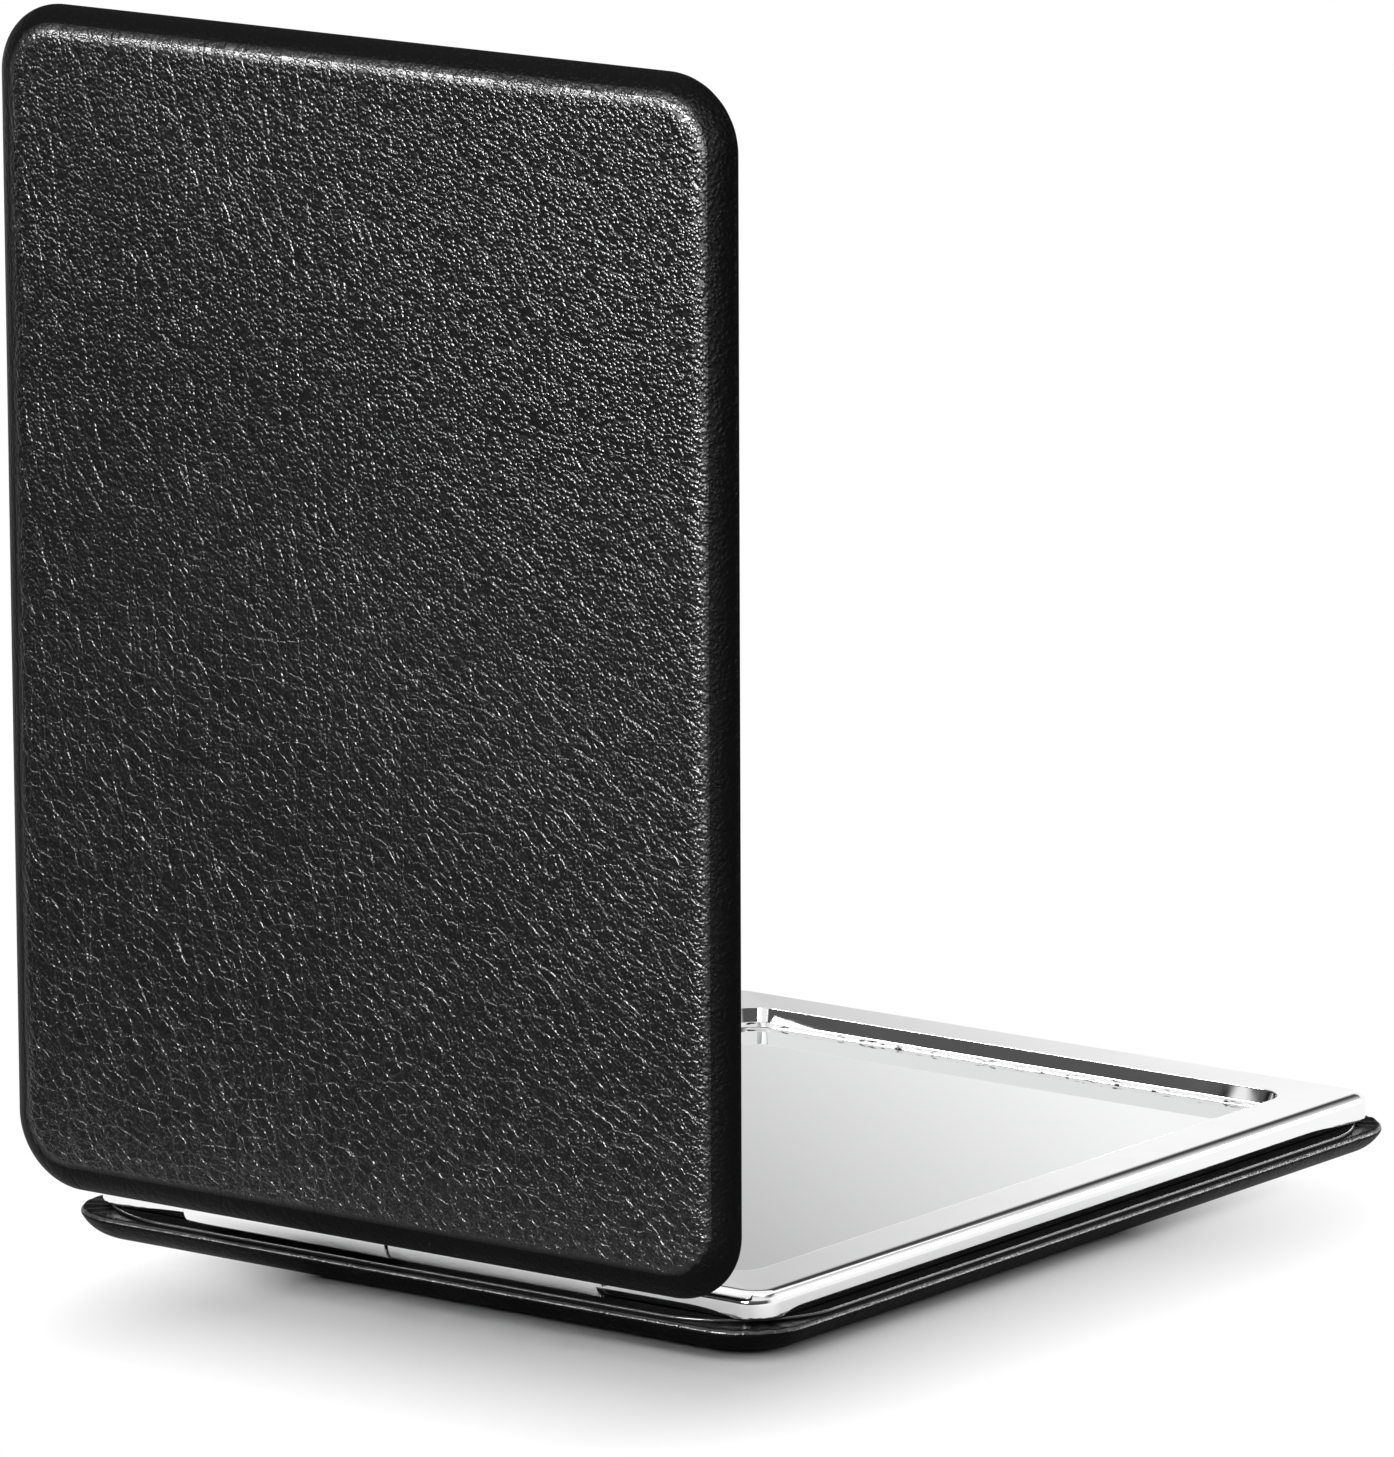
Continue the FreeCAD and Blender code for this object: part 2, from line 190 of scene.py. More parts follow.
def cloud(material, where, scale, detail):
    """A soft noise from 0 to 1, with finer layers on it where detail is more than 1."""
    inputs = {"Vector": where, "Scale": scale, "Detail": detail}
    return add_node(material, "ShaderNodeTexNoise", inputs).outputs["Fac"]


def object_place(material):
    """Where a point is in the object, in metres."""
    return add_node(material, "ShaderNodeTexCoord").outputs["Object"]


def show_height(material, shader, height, strength, depth, tones):
    """Let one height drive the bump, with its depth in metres, and the colour, from dark to light."""
    bump = add_node(material, "ShaderNodeBump", {"Strength": strength, "Distance": depth, "Height": height})
    wire(material, bump.outputs["Normal"], shader.inputs["Normal"])
    ramp = add_node(material, "ShaderNodeValToRGB", {"Fac": height})
    for element, tone in zip(ramp.color_ramp.elements, tones):
        element.color = (*tone, 1.0)
    wire(material, ramp.outputs["Color"], shader.inputs["Base Color"])


print("material helpers ready")

# %% [markdown]
# The cover is black imitation leather, pressed with a fine grain.
# Its pebbles are about a third of a millimetre across. Long crooked folds run among them, nearly straight
# down on one side of the face and slanted on the other, and towards the hinge the grain is flatter, with
# cracks.
# A picture of leather could be laid over the face, but nodes stay sharp at any distance.
# The grain follows the sheet and not the solid, so it reads an attribute that says where each point was on
# the flat sheet, in millimetres.
# A pebble is a dome that falls with the square of the distance from its middle, so each one shows one small
# glint; a cone would show a streak. Folds and cracks are grooves along the borders of Voronoi cells.

# %% Pebbles, folds and cracks
# A sway is a noise's spots per millimetre, its detail, and its reach in millimetres.
SHEET = "sheet_mm"
PEBBLES_PER_MM, PEBBLE_SOFTNESS, PEBBLE_REACH = 3.4, 0.08, 0.4
PEBBLE_SWAY = 1.2, 1.0, 0.3
PATCH_LOW, PATCH_RANGE = 0.92, (0.35, 0.65)
SIDE_LOW, SIDE_RANGE = 0.82, (-14.0, 10.0)
FLAT_PEBBLES = 0.42
FOLDS_PER_MM, FOLD_EDGE = 0.58, 0.08
FOLD_SWAY = 0.6, 3.0, 0.8
FOLD_SIDES = -10.0, 6.0
CRACKS_PER_MM, CRACK_EDGE, CRACK_DEPTH = 1.0, 0.06, 0.7
CRACK_SWAY = 0.9, 2.0, 0.5


def swayed(material, vector, scale, detail, reach):
    """A vector moved to and fro by a noise of the given scale, by at most half the reach."""
    noise = add_node(material, "ShaderNodeTexNoise", {"Vector": vector, "Scale": scale, "Detail": detail})
    parts = {0: noise.outputs["Color"], 1: (reach, reach, 0.0), 2: vector}
    return add_node(material, "ShaderNodeVectorMath", parts, operation="MULTIPLY_ADD").outputs[0]


def cells(material, vector, scale, feature, smoothness=0.0):
    """Distance in a Voronoi pattern: to the nearest border, or to the middle of the cell, softened."""
    inputs = {"Vector": vector, "Scale": scale, "Randomness": 1.0}
    if feature == "SMOOTH_F1":
        inputs["Smoothness"] = smoothness
    return add_node(material, "ShaderNodeTexVoronoi", inputs, feature=feature).outputs["Distance"]


def pebbles(material, sheet, patches, across, flatness):
    """Domes, 1 less the squared distance from a cell's middle, lower in patches, at a side and where flat."""
    grain = swayed(material, sheet, *PEBBLE_SWAY)
    middle = cells(material, grain, PEBBLES_PER_MM, "SMOOTH_F1", PEBBLE_SOFTNESS)
    square = weigh(material, "MULTIPLY", middle, middle)
    strength = spread(material, patches, PATCH_LOW, 1.0, *PATCH_RANGE)
    strength = weigh(material, "MULTIPLY", strength, spread(material, across, 1.0, SIDE_LOW, *SIDE_RANGE))
    strength = weigh(material, "MULTIPLY", strength, spread(material, flatness, 1.0, FLAT_PEBBLES))
    return weigh(material, "MULTIPLY", spread(material, square, 1.0, 0.0, 0.0, PEBBLE_REACH), strength)


def folds(material, bent, thick, across, slant, length, start, end):
    """Grooves along the borders of long cells, turned by a slant; their depth changes across the sheet."""
    turn = {"Vector": bent, "Rotation": (0.0, 0.0, slant)}
    slanted = add_node(material, "ShaderNodeMapping", turn).outputs[0]
    strips = scaled(material, swayed(material, slanted, *FOLD_SWAY), (1.0, 1 / length, 1.0))
    border = cells(material, strips, FOLDS_PER_MM, "DISTANCE_TO_EDGE")
    depth = weigh(material, "MULTIPLY", spread(material, across, start, end, *FOLD_SIDES), thick)
    return weigh(material, "MULTIPLY", spread(material, border, 1.0, 0.0, 0.0, FOLD_EDGE), depth)


def cracks(material, sheet, flatness):
    """Narrow grooves along the borders of round cells about a millimetre wide, where the grain is flat."""
    border = cells(material, swayed(material, sheet, *CRACK_SWAY), CRACKS_PER_MM, "DISTANCE_TO_EDGE")
    groove = spread(material, border, CRACK_DEPTH, 0.0, 0.0, CRACK_EDGE)
    return weigh(material, "MULTIPLY", groove, flatness)


print(f"pebbles {1 / PEBBLES_PER_MM:.2f} mm, folds {1 / FOLDS_PER_MM:.2f} mm apart")

# %% [markdown]
# One leather material puts the layers together: a slow bend of the whole sheet, so that nothing runs quite
# straight, then pebbles, less cracks, less two sets of folds.
# The face of the cover has a soft shine, but round the edge the sheet is dull and its colour is painted
# darker, as painted shade, so five finishes blend from the one to the other. Two more have a lacquered shine:
# the crest along the free end, and the turn above the edge, where a fine bright line runs; the turn keeps the
# darker painted shade.

# %% Leather finishes
BEND_SWAY = 0.05, 1.0, 9.0
PATCH_SCALE, PATCH_DETAIL = 0.4, 3.0
THICK_LOW, THICK_RANGE = 0.6, (0.38, 0.58)
FLAT_SHARE, FLAT_RANGE, FLAT_ROUGHNESS = 0.55, (3.0, 24.0), 0.06
# A set of folds has its slant, how long its cells are drawn out, and its depth at one side and at the other.
FOLDS = ((math.radians(6), 5.0, 0.15, 0.75), (math.radians(58), 2.5, 0.66, 0.4))
HIDE_TONES = ((0.016, 0.016, 0.0162), (0.024, 0.024, 0.0243))
# The edge tones are far darker than the hide's: painted shade, so the edges read black.
EDGE_SHADE_TONES = ((0.002, 0.002, 0.0022), (0.004, 0.004, 0.0042))
GRADES = 5
FACE_GRAIN, EDGE_GRAIN = 0.046 * MM, 0.03 * MM
FACE_SHINE, EDGE_SHINE = (0.23, 0.18), (0.5, 0.4)
TURN_SHINE, CREST_SHINE = (0.3, 0.22), (0.24, 0.19)
FACE_GLOSS, EDGE_GLOSS, LACQUER_GLOSS = 0.5, 0.06, 1.0


def leather(name, shine, grain, tones, gloss):
    """Grained black leather, from its roughness in grooves and on tops, grain height, colours and gloss."""
    material, shader = new_material(name, Specular_IOR_Level=gloss)
    sheet = add_node(material, "ShaderNodeAttribute", attribute_name=SHEET).outputs["Vector"]
    bent = swayed(material, sheet, *BEND_SWAY)
    across, along = add_node(material, "ShaderNodeSeparateXYZ", {0: bent}).outputs[:2]
    patches = cloud(material, sheet, PATCH_SCALE, PATCH_DETAIL)
    thick = spread(material, patches, THICK_LOW, 1.0, *THICK_RANGE)
    flatness = spread(material, along, FLAT_SHARE, 0.0, *FLAT_RANGE)
    height = pebbles(material, sheet, patches, across, flatness)
    height = weigh(material, "SUBTRACT", height, cracks(material, sheet, flatness))
    for fold in FOLDS:
        height = weigh(material, "SUBTRACT", height, folds(material, bent, thick, across, *fold))
    show_height(material, shader, height, 1.0, grain, tones)
    dullness = spread(material, flatness, 0.0, FLAT_ROUGHNESS)
    roughness = weigh(material, "ADD", spread(material, height, *shine), dullness)
    wire(material, roughness, shader.inputs["Roughness"])
    return material


def graded_leather(number):
    """One finish between the shining face and the dull edge of painted shade, blended evenly between the two.
    """
    share = number / (GRADES - 1)
    face_values = FACE_SHINE, FACE_GRAIN, HIDE_TONES, FACE_GLOSS
    edge_values = EDGE_SHINE, EDGE_GRAIN, EDGE_SHADE_TONES, EDGE_GLOSS
    pairs = zip(face_values, edge_values)
    mixed = [np.array(face) * (1 - share) + np.array(edge) * share for face, edge in pairs]
    return leather(f"leather_{number}", *(values.tolist() for values in mixed))


hides = [graded_leather(number) for number in range(GRADES)]
# The turn takes the edge's darker tones, painted shade, under a lacquered shine.
hides.append(leather("leather_turn", TURN_SHINE, EDGE_GRAIN, EDGE_SHADE_TONES, LACQUER_GLOSS))
hides.append(leather("leather_roll", CREST_SHINE, EDGE_GRAIN, HIDE_TONES, LACQUER_GLOSS))
print("leather:", [material.name for material in hides])

# %% [markdown]
# The cover is one sheet: a flat outer face, a soft roll round the edge, and a border turned in over the
# board.
# It could be a box with bevels, but a wrapped sheet gathers at its corners, and its thickness shows nowhere.
# So the flat face is a grid whose corner squares are bent to quarter rounds, and the rest is a profile
# carried round the grid's own border, point by point, so the two meet without a seam.

# %% A grid that fills a rounded rectangle
CORNER_STEPS = 20
GRID_STEP = 0.62
TINY = 1e-9


def grid_lines(half, corner):
    """Places of the grid lines across one direction: even steps in the middle, closer ones in the corners."""
    core = half - corner
    middle = np.linspace(-core, core, 2 * round(core / GRID_STEP) + 1)
    outer = core + np.linspace(0, corner, CORNER_STEPS + 1)[1:]
    return np.concatenate([-outer[::-1], middle, outer])


def rounded_grid(half_x, half_y, corner):
    """Points of a flat grid in a rounded rectangle, the numbers along its border and the border's normals.

    In a corner square, a point keeps its ring, the larger of its two distances from the core, as a radius,
    and the smaller over the larger, times an eighth of a turn, becomes its angle on that ring.
    """
    x, y = np.meshgrid(grid_lines(half_x, corner), grid_lines(half_y, corner), indexing="ij")
    core_x, core_y = half_x - corner, half_y - corner
    over_x, over_y = np.maximum(abs(x) - core_x, 0), np.maximum(abs(y) - core_y, 0)
    ring = np.maximum(over_x, over_y)
    angle = np.minimum(over_x, over_y) / np.maximum(ring, TINY) * math.pi / 4
    more, less = ring * np.cos(angle), ring * np.sin(angle)
    x = np.sign(x) * (np.minimum(abs(x), core_x) + np.where(over_x >= over_y, more, less))
    y = np.sign(y) * (np.minimum(abs(y), core_y) + np.where(over_x >= over_y, less, more))
    table = np.arange(x.size).reshape(x.shape)
    border = np.concatenate([table[:-1, 0], table[-1, :-1], table[:0:-1, -1], table[0, :0:-1]])
    points = np.stack([x.ravel(), y.ravel()], -1)
    core = np.clip(points[border], (-core_x, -core_y), (core_x, core_y))
    normals = (points[border] - core) / corner
    return points, table, border, normals


def wrapped(grid, low, high, outs, heights):
    """A closed shell: a grid at each of two heights, joined by rings carried round the border.

    Ring k stands outs[k] beyond the border along its normals, at heights[k]; low and high are the grids'
    own heights.
    """
    points, table, border, normals = grid
    count = len(points)
    rings = points[border] + normals * outs[..., None]
    rings = np.concatenate([rings, np.broadcast_to(heights[..., None], (*rings.shape[:2], 1))], -1)
    numbers = 2 * count + np.arange(rings.shape[0] * rings.shape[1]).reshape(rings.shape[:2])
    belt = np.concatenate([border[None], numbers, border[None] + count])
    lower = np.column_stack([points, low])
    upper = np.column_stack([points, high])
    everything = np.concatenate([lower, upper, rings.reshape(-1, 3)])
    return everything, [quads(table), quads(table) + count, quads(belt, around=True)]


print("grid and wrap ready, with steps of", GRID_STEP, "mm")

# %% [markdown]
# Now the cover's own profile.
# From the flat face it rolls up through a wide arc of a circle, goes on round a small nose until it lies
# level, and ends as a border on the board, under the frame.
# Leather is gathered at the corners, so shallow pleats run across the nose there.
# A slow wave in the face keeps its reflections from being dead flat.

# %% Cover profile
CASE_X, CASE_Y, COVER_TOP = node_box("base_leather_cover")[1]
CASE_CORNER = 5.2
LEATHER = 0.45
ROLL_RADIUS, ROLL_END = 3.0, math.radians(60)
ROLL_HEIGHT = ROLL_RADIUS * (1 - math.cos(ROLL_END))
NOSE_RADIUS = (COVER_TOP - ROLL_HEIGHT) / (1 + math.cos(ROLL_END))
EDGE_WIDTH = ROLL_RADIUS * math.sin(ROLL_END) + NOSE_RADIUS * (1 - math.sin(ROLL_END))
ROLL_STEPS, NOSE_STEPS, BORDER_STEPS = 18, 22, 8
BORDER_REACH = 3.2
INSIDE_TOP, INSIDE_FOOT, INSIDE_RISE = 1.4, 1.5, 0.5
PLEATS, PLEAT_HEIGHT, PLEAT_SHARPNESS = 5, 0.07, 8
WAVES = np.array([(0.21, 0.0, 1.0), (0.09, 0.13, 2.0), (-0.11, 0.24, 0.0)])


def slow_wave(points, phase):
    """A gentle hollow and swell from 0 to 1: the mean of three sines that run across the face in three ways.

    Each row of WAVES has a sine's radians per millimetre in X and in Y, and its share of the phase.
    """
    return 0.5 + np.sin(points @ WAVES[:, :2].T + phase * WAVES[:, 2]).mean(-1) / 2


def cover_profile(normals):
    """Outward reach and height of the cover's rings, from the outer face to the inner one, and their angles.

    Roll: a wide arc of a circle. Nose: a small arc that goes on from it until it lies level, with pleats that
    rise and fall across the corners, by twice the product of the normal's parts. Border: level, then back
    below.
    """
    gather = 2 * abs(normals[:, 0] * normals[:, 1])
    around = np.arctan2(abs(normals[:, 1]), abs(normals[:, 0]))
    roll = np.linspace(0, ROLL_END, ROLL_STEPS + 1)[1:, None]
    nose = np.linspace(ROLL_END, math.pi, NOSE_STEPS + 1)[1:, None]
    inward = np.linspace(0, 1, BORDER_STEPS + 1)[1:, None]
    nose_top = EDGE_WIDTH - NOSE_RADIUS
    pleats = PLEAT_HEIGHT * gather * np.cos(4 * PLEATS * around)
    level = np.ones_like(gather)
    end = EDGE_WIDTH - BORDER_REACH
    under = COVER_TOP - LEATHER
    inside = np.array(
        [(end, under), (EDGE_WIDTH - INSIDE_TOP, under), (EDGE_WIDTH - INSIDE_FOOT, LEATHER + INSIDE_RISE)]
    )
    outs = [
        ROLL_RADIUS * np.sin(roll) * level,
        (nose_top + NOSE_RADIUS * np.sin(nose)) * level,
        (nose_top + (end - nose_top) * inward) * level,
        inside[:, :1] * level,
    ]
    heights = [
        ROLL_RADIUS * (1 - np.cos(roll)) * level,
        COVER_TOP - NOSE_RADIUS * (1 + np.cos(nose)) + pleats * np.sin(nose / 2) ** PLEAT_SHARPNESS,
        COVER_TOP + pleats * (1 - inward),
        inside[:, 1:] * level,
    ]
    angles = np.concatenate([roll, nose, np.full((len(inward) + len(inside), 1), math.pi)])
    return np.concatenate(outs), np.concatenate(heights), angles


print(f"roll {ROLL_RADIUS} mm, nose {NOSE_RADIUS:.2f} mm, edge {EDGE_WIDTH:.2f} mm wide")

# %% [markdown]
# The finishes are dealt out by how far the profile has turned.
# On the long sides the dull finish of painted shade begins a little earlier, and at the hinge much earlier,
# because the photograph shows those edges dark; the lacquered crest is only at the free end.
# The cover is drawn tight over foam.

# %% Leather covers
FINISH_ANGLES = np.radians([12, 23, 26, 29, 32, 106, 142])
FINISH_ORDER = np.array([[0, 0, 1, 2, 3, 4, 5, 4], [0, 6, 1, 2, 3, 4, 5, 4]])
# How much earlier the darker finish, painted shade, starts on the long sides and at the hinge.
SIDE_SHADE_SHIFT, HINGE_SHADE_SHIFT = math.radians(4), math.radians(16)
END_SIDE = 0.7
# How far the sides stand out past the profile across X and across Y, in millimetres.
BULGE = {"base": (0.06, 0.06), "lid": (0.4, 0.03)}
WAVE_HEIGHT, WAVE_PHASE, WAVE_FADE = 0.05, 1.7, 1.5
SHEETS_APART = 200.0


def keep_sheet(piece, sheet, number):
    """Store each point's place on the flat sheet; the third part keeps sheets apart in the grain's noise."""
    vectors = np.column_stack([sheet, np.full(len(sheet), number)])
    attribute = piece.data.attributes.new(SHEET, "FLOAT_VECTOR", "POINT")
    attribute.data.foreach_set("vector", vectors.astype(np.float32).ravel())


def belt_finish(angles, normals):
    """Numbers of the finishes on the belt's faces, by the angle of their ring and their side of the cover."""
    turned = np.append(angles, 0.0)[:, None]
    shift = SIDE_SHADE_SHIFT * normals[:, 0] ** 2 + HINGE_SHADE_SHIFT * np.maximum(-normals[:, 1], 0.0)
    turned = turned + shift * (turned < ROLL_END) * (turned > 0)
    at_end = np.broadcast_to(normals[:, 1] > END_SIDE, turned.shape).astype(int)
    return FINISH_ORDER[at_end, np.digitize(turned, FINISH_ANGLES)].ravel()


def cover_grid():
    """The flat part of the cover, inside its edge."""
    return rounded_grid(CASE_X - EDGE_WIDTH, CASE_Y - EDGE_WIDTH, CASE_CORNER - EDGE_WIDTH)


def leather_cover(half):
    """The wrapped sheet of one half, with the flat sheet's millimetres kept as an attribute.

    A place on the sheet is the border's point moved along its normal by the distance walked over the rings.
    """
    number = HALVES.index(half)
    grid = cover_grid()
    flat, _, border, normals = grid
    outs, heights, angles = cover_profile(normals)
    outs = outs + (normals**2 @ BULGE[half]) * np.sin(angles) ** 2
    dent = WAVE_HEIGHT * slow_wave(flat, number * WAVE_PHASE)
    heights = heights + dent[border] * np.clip(np.cos(WAVE_FADE * angles), 0, 1) * (angles < ROLL_END)
    points, faces = wrapped(grid, dent, LEATHER + dent, outs, heights)
    piece = make_piece(f"{half}_cover", points, faces, half, f"{half}_leather_cover", hides)
    steps = np.diff(outs, axis=0, prepend=0), np.diff(heights, axis=0, prepend=0)
    travel = np.cumsum(np.hypot(*steps), axis=0)
    belt = (flat[border] + normals * travel[..., None]).reshape(-1, 2)
    keep_sheet(piece, np.concatenate([flat, flat, belt]), SHEETS_APART * number)
    face_finish = np.zeros(len(faces[0]) + len(faces[1]), int)
    indices = np.concatenate([face_finish, belt_finish(angles, normals)])
    piece.data.polygons.foreach_set("material_index", indices.astype(np.int32))


for half in HALVES:
    leather_cover(half)

# %% [markdown]
# Under the cover lie a thin foam sheet, which lets the edge roll softly, and the board that carries the rest.
# The board's lower edge is sanded round before wrapping, and both sheets follow the inside of the roll here,
# so nothing pokes through the leather.
# Foam is a sponge with small open cells; the board is pressed paper with fibres lying in all directions.

# %% Foam and board
ROLL_PLAY = 0.05
INNER_RINGS = 9
SOFT_BUMP = 0.6
FOAM_TONES = ((0.05, 0.05, 0.055), (0.16, 0.16, 0.165))
BOARD_TONES = ((0.19, 0.15, 0.11), (0.34, 0.29, 0.23))
FOAM_DEPTH, BOARD_DEPTH = 0.05 * MM, 0.02 * MM
FOAM_CELLS, FOAM_SOFTNESS = 4000.0, 0.3
FIBRE_SCALE, FIBRE_DETAIL, FIBRE_STRETCH = 900.0, 3.0, 0.05


def textured(name, height, tones, depth, **sockets):
    """A finish whose colour and bump follow one height, made by a function of the material and a place."""
    material, shader = new_material(name, **sockets)
    show_height(material, shader, height(material, object_place(material)), SOFT_BUMP, depth, tones)
    return material


def sponge(material, where):
    """Round open cells about a quarter of a millimetre wide."""
    return cells(material, where, FOAM_CELLS, "SMOOTH_F1", FOAM_SOFTNESS)


def fibres(material, where):
    """Short threads: a noise stretched twenty times along X, crossed with one along Y."""
    threads = [
        cloud(material, scaled(material, where, stretch), FIBRE_SCALE, FIBRE_DETAIL)
        for stretch in ((FIBRE_STRETCH, 1.0, 1.0), (1.0, FIBRE_STRETCH, 1.0))
    ]
    return weigh(material, "MAXIMUM", *threads)


def inner_sheet(half, slot, node, low, high, material):
    """A sheet that fills the roll between two heights: its edge is an arc about the roll's own centre."""
    grid = cover_grid()
    inside = ROLL_RADIUS - LEATHER - ROLL_PLAY
    heights = np.linspace(low + ROLL_PLAY, high, INNER_RINGS)[:, None] * np.ones(len(grid[2]))
    outs = np.sqrt(np.maximum(inside**2 - (ROLL_RADIUS - heights) ** 2, 0.0))
    count = len(grid[0])
    points, faces = wrapped(grid, np.full(count, low + ROLL_PLAY), np.full(count, high), outs, heights)
    return make_piece(f"{half}_{slot}", points, faces, half, f"{half}_{node}", [material])


foam = textured("open_cell_foam", sponge, FOAM_TONES, FOAM_DEPTH, Roughness=0.95)
board = textured("pressed_board", fibres, BOARD_TONES, BOARD_DEPTH, Roughness=0.85)
board_low, board_high = (corner[2] for corner in node_box("base_stiffener_board"))
for half in HALVES:
    pad = inner_sheet(half, "foam", "foam_pad", LEATHER, board_low, foam)
    inner_sheet(half, "board", "stiffener_board", board_low, board_high, board)

# %% [markdown]
# A camera, a floor and soft light come early, so that every later piece can be looked at.
# The camera stands where the photograph was taken from: its direction, distance and lens were found by
# matching the edges of both halves.

# %% Camera
VIEW_AZIMUTH, VIEW_ELEVATION, VIEW_ROLL = (math.radians(a) for a in (34.471, 11.087, 0.932))
VIEW_DISTANCE = 831.5
VIEW_TARGET = np.array([8.059, -18.718, 38.483])
LENS, SENSOR, CLIP_END = 288.0, 36.0, 20.0

flat_x, flat_y = math.sin(VIEW_AZIMUTH), -math.cos(VIEW_AZIMUTH)
level_share, rise_share = math.cos(VIEW_ELEVATION), math.sin(VIEW_ELEVATION)
back = np.array([flat_x * level_share, flat_y * level_share, rise_share])
right = np.array([-flat_y, flat_x, 0.0])
up = np.cross(back, right)
roll_cos, roll_sin = math.cos(VIEW_ROLL), math.sin(VIEW_ROLL)
rolled_right = roll_cos * right + roll_sin * up
rolled_up = roll_cos * up - roll_sin * right

camera_data = bpy.data.cameras.new("camera")
camera_data.lens, camera_data.sensor_width, camera_data.clip_end = LENS, SENSOR, CLIP_END
camera = bpy.data.objects.new("camera", camera_data)
scene = bpy.context.scene
scene.collection.objects.link(camera)
pose = np.eye(4)
pose[:3, :3] = np.column_stack([rolled_right, rolled_up, back])
pose[:3, 3] = (VIEW_TARGET + back * VIEW_DISTANCE) * MM
camera.matrix_world = pose.T.tolist()
scene.camera = camera
print("camera at", [round(v, 3) for v in camera.matrix_world.translation])

# %% [markdown]
# Polished metal is a picture of its room, so the room is part of the finish.
# Behind the mirror the room is white and turns dark well above the table, higher up on the right, and a grey
# patch on the left shows in the pane as a soft step. In front the room is dark near the table, under a pale
# ceiling.
# It could be built of walls, but a world that reads only the direction of a ray has no corners to hide.
# Rays from the camera see plain white instead, which gives the white background.

# %% Room
BACK_STOPS = ((0.0, 1.0), (0.34, 1.0), (0.45, 0.1), (1.0, 0.12))
RIGHT_STOPS = ((0.0, 1.0), (0.55, 1.0), (0.7, 0.15), (1.0, 0.12))
PATCH_STOPS = ((0.0, 1.0), (0.653, 1.0), (0.69, 0.5), (1.0, 0.5))
PATCH_LEAN = 0.826
FRONT_DARK = ((0.0, 0.01), (0.05, 0.02), (0.08, 0.09), (0.4, 0.09))
FRONT_CEILING = ((0.48, 0.85), (0.85, 0.85), (1.0, 0.2))
BACK_BLEND, RIGHT_BLEND = (-0.1, 0.3), (-0.1, 0.4)
WHITE = (1.0, 1.0, 1.0, 1.0)


def grey_ramp(owner, value, stops):
    """Grey steps, blended, over a value from 0 to 1."""
    ramp = add_node(owner, "ShaderNodeValToRGB", {"Fac": value})
    elements = ramp.color_ramp.elements
    elements[0].position, elements[1].position = stops[0][0], stops[-1][0]
    elements[0].color = (stops[0][1],) * 3 + (1.0,)
    elements[1].color = (stops[-1][1],) * 3 + (1.0,)
    for position, grey in stops[1:-1]:
        elements.new(position).color = (grey,) * 3 + (1.0,)
    return ramp.outputs["Color"]


def blended(owner, factor, first, second, blend_type="MIX"):
    """Two colours mixed by a factor."""
    mix = add_node(owner, "ShaderNodeMix", data_type="RGBA", blend_type=blend_type)
    for key, value in (("Factor", factor), ("A", first), ("B", second)):
        socket = next(item for item in mix.inputs if item.name == key and item.enabled)
        if isinstance(value, bpy.types.NodeSocket):
            wire(owner, value, socket)
        else:
            socket.default_value = value
    return next(item for item in mix.outputs if item.enabled)


def studio_room():
    """Brightness by direction: ramps by height for the back, its right and the front, and a patch at left."""
    world = bpy.data.worlds.new("room")
    world.use_nodes = True
    nodes = world.node_tree.nodes
    direction = add_node(world, "ShaderNodeTexCoord").outputs["Generated"]
    parts = add_node(world, "ShaderNodeSeparateXYZ", {0: direction}).outputs
    height_left = weigh(world, "SUBTRACT", parts["Z"], weigh(world, "MULTIPLY", parts["X"], PATCH_LEAN))
    is_back = spread(world, parts["Y"], 0.0, 1.0, *BACK_BLEND)
    is_right = spread(world, parts["X"], 0.0, 1.0, *RIGHT_BLEND)
    back = grey_ramp(world, parts["Z"], BACK_STOPS)
    back = blended(world, is_right, back, grey_ramp(world, parts["Z"], RIGHT_STOPS))
    patched = blended(world, 1.0, back, grey_ramp(world, height_left, PATCH_STOPS), "MULTIPLY")
    front = grey_ramp(world, parts["Z"], FRONT_DARK + FRONT_CEILING)
    wire(world, blended(world, is_back, front, patched), nodes["Background"].inputs["Color"])
    plain = add_node(world, "ShaderNodeBackground", {"Color": WHITE})
    is_camera = add_node(world, "ShaderNodeLightPath").outputs["Is Camera Ray"]
    shaders = {0: is_camera, 1: nodes["Background"].outputs[0], 2: plain.outputs[0]}
    choose = add_node(world, "ShaderNodeMixShader", shaders)
    wire(world, choose.outputs[0], nodes["World Output"].inputs["Surface"])
    return world


scene.view_settings.view_transform = "Standard"
scene.world = studio_room()
print("room:", len(scene.world.node_tree.nodes), "nodes")

# %% [markdown]
# One broad weak lamp hangs behind and above. It lights the table and throws the soft shadow forwards.
# Small lamps would be easier to place, but their shadows have hard edges.

# %% Lamp
LAMP_PLACE, LAMP_AIM = (-0.15, 0.3, 1.1), (0.0, 0.0, 0.0)
LAMP_SIDE, LAMP_WATTS = 1.5, 6.5


def soft_lamp(name, position, aim, side, watts):
    """A square area lamp at a place, pointing at another place."""
    data = bpy.data.lights.new(name, "AREA")
    data.shape, data.size, data.size_y, data.energy = "RECTANGLE", side, side, watts
    lamp = bpy.data.objects.new(name, data)
    scene.collection.objects.link(lamp)
    lamp.location = position
    along = np.array(aim) - np.array(position)
    tilt = math.atan2(math.hypot(along[0], along[1]), -along[2])
    lamp.rotation_euler = (tilt, 0.0, math.atan2(along[1], along[0]) - math.pi / 2)


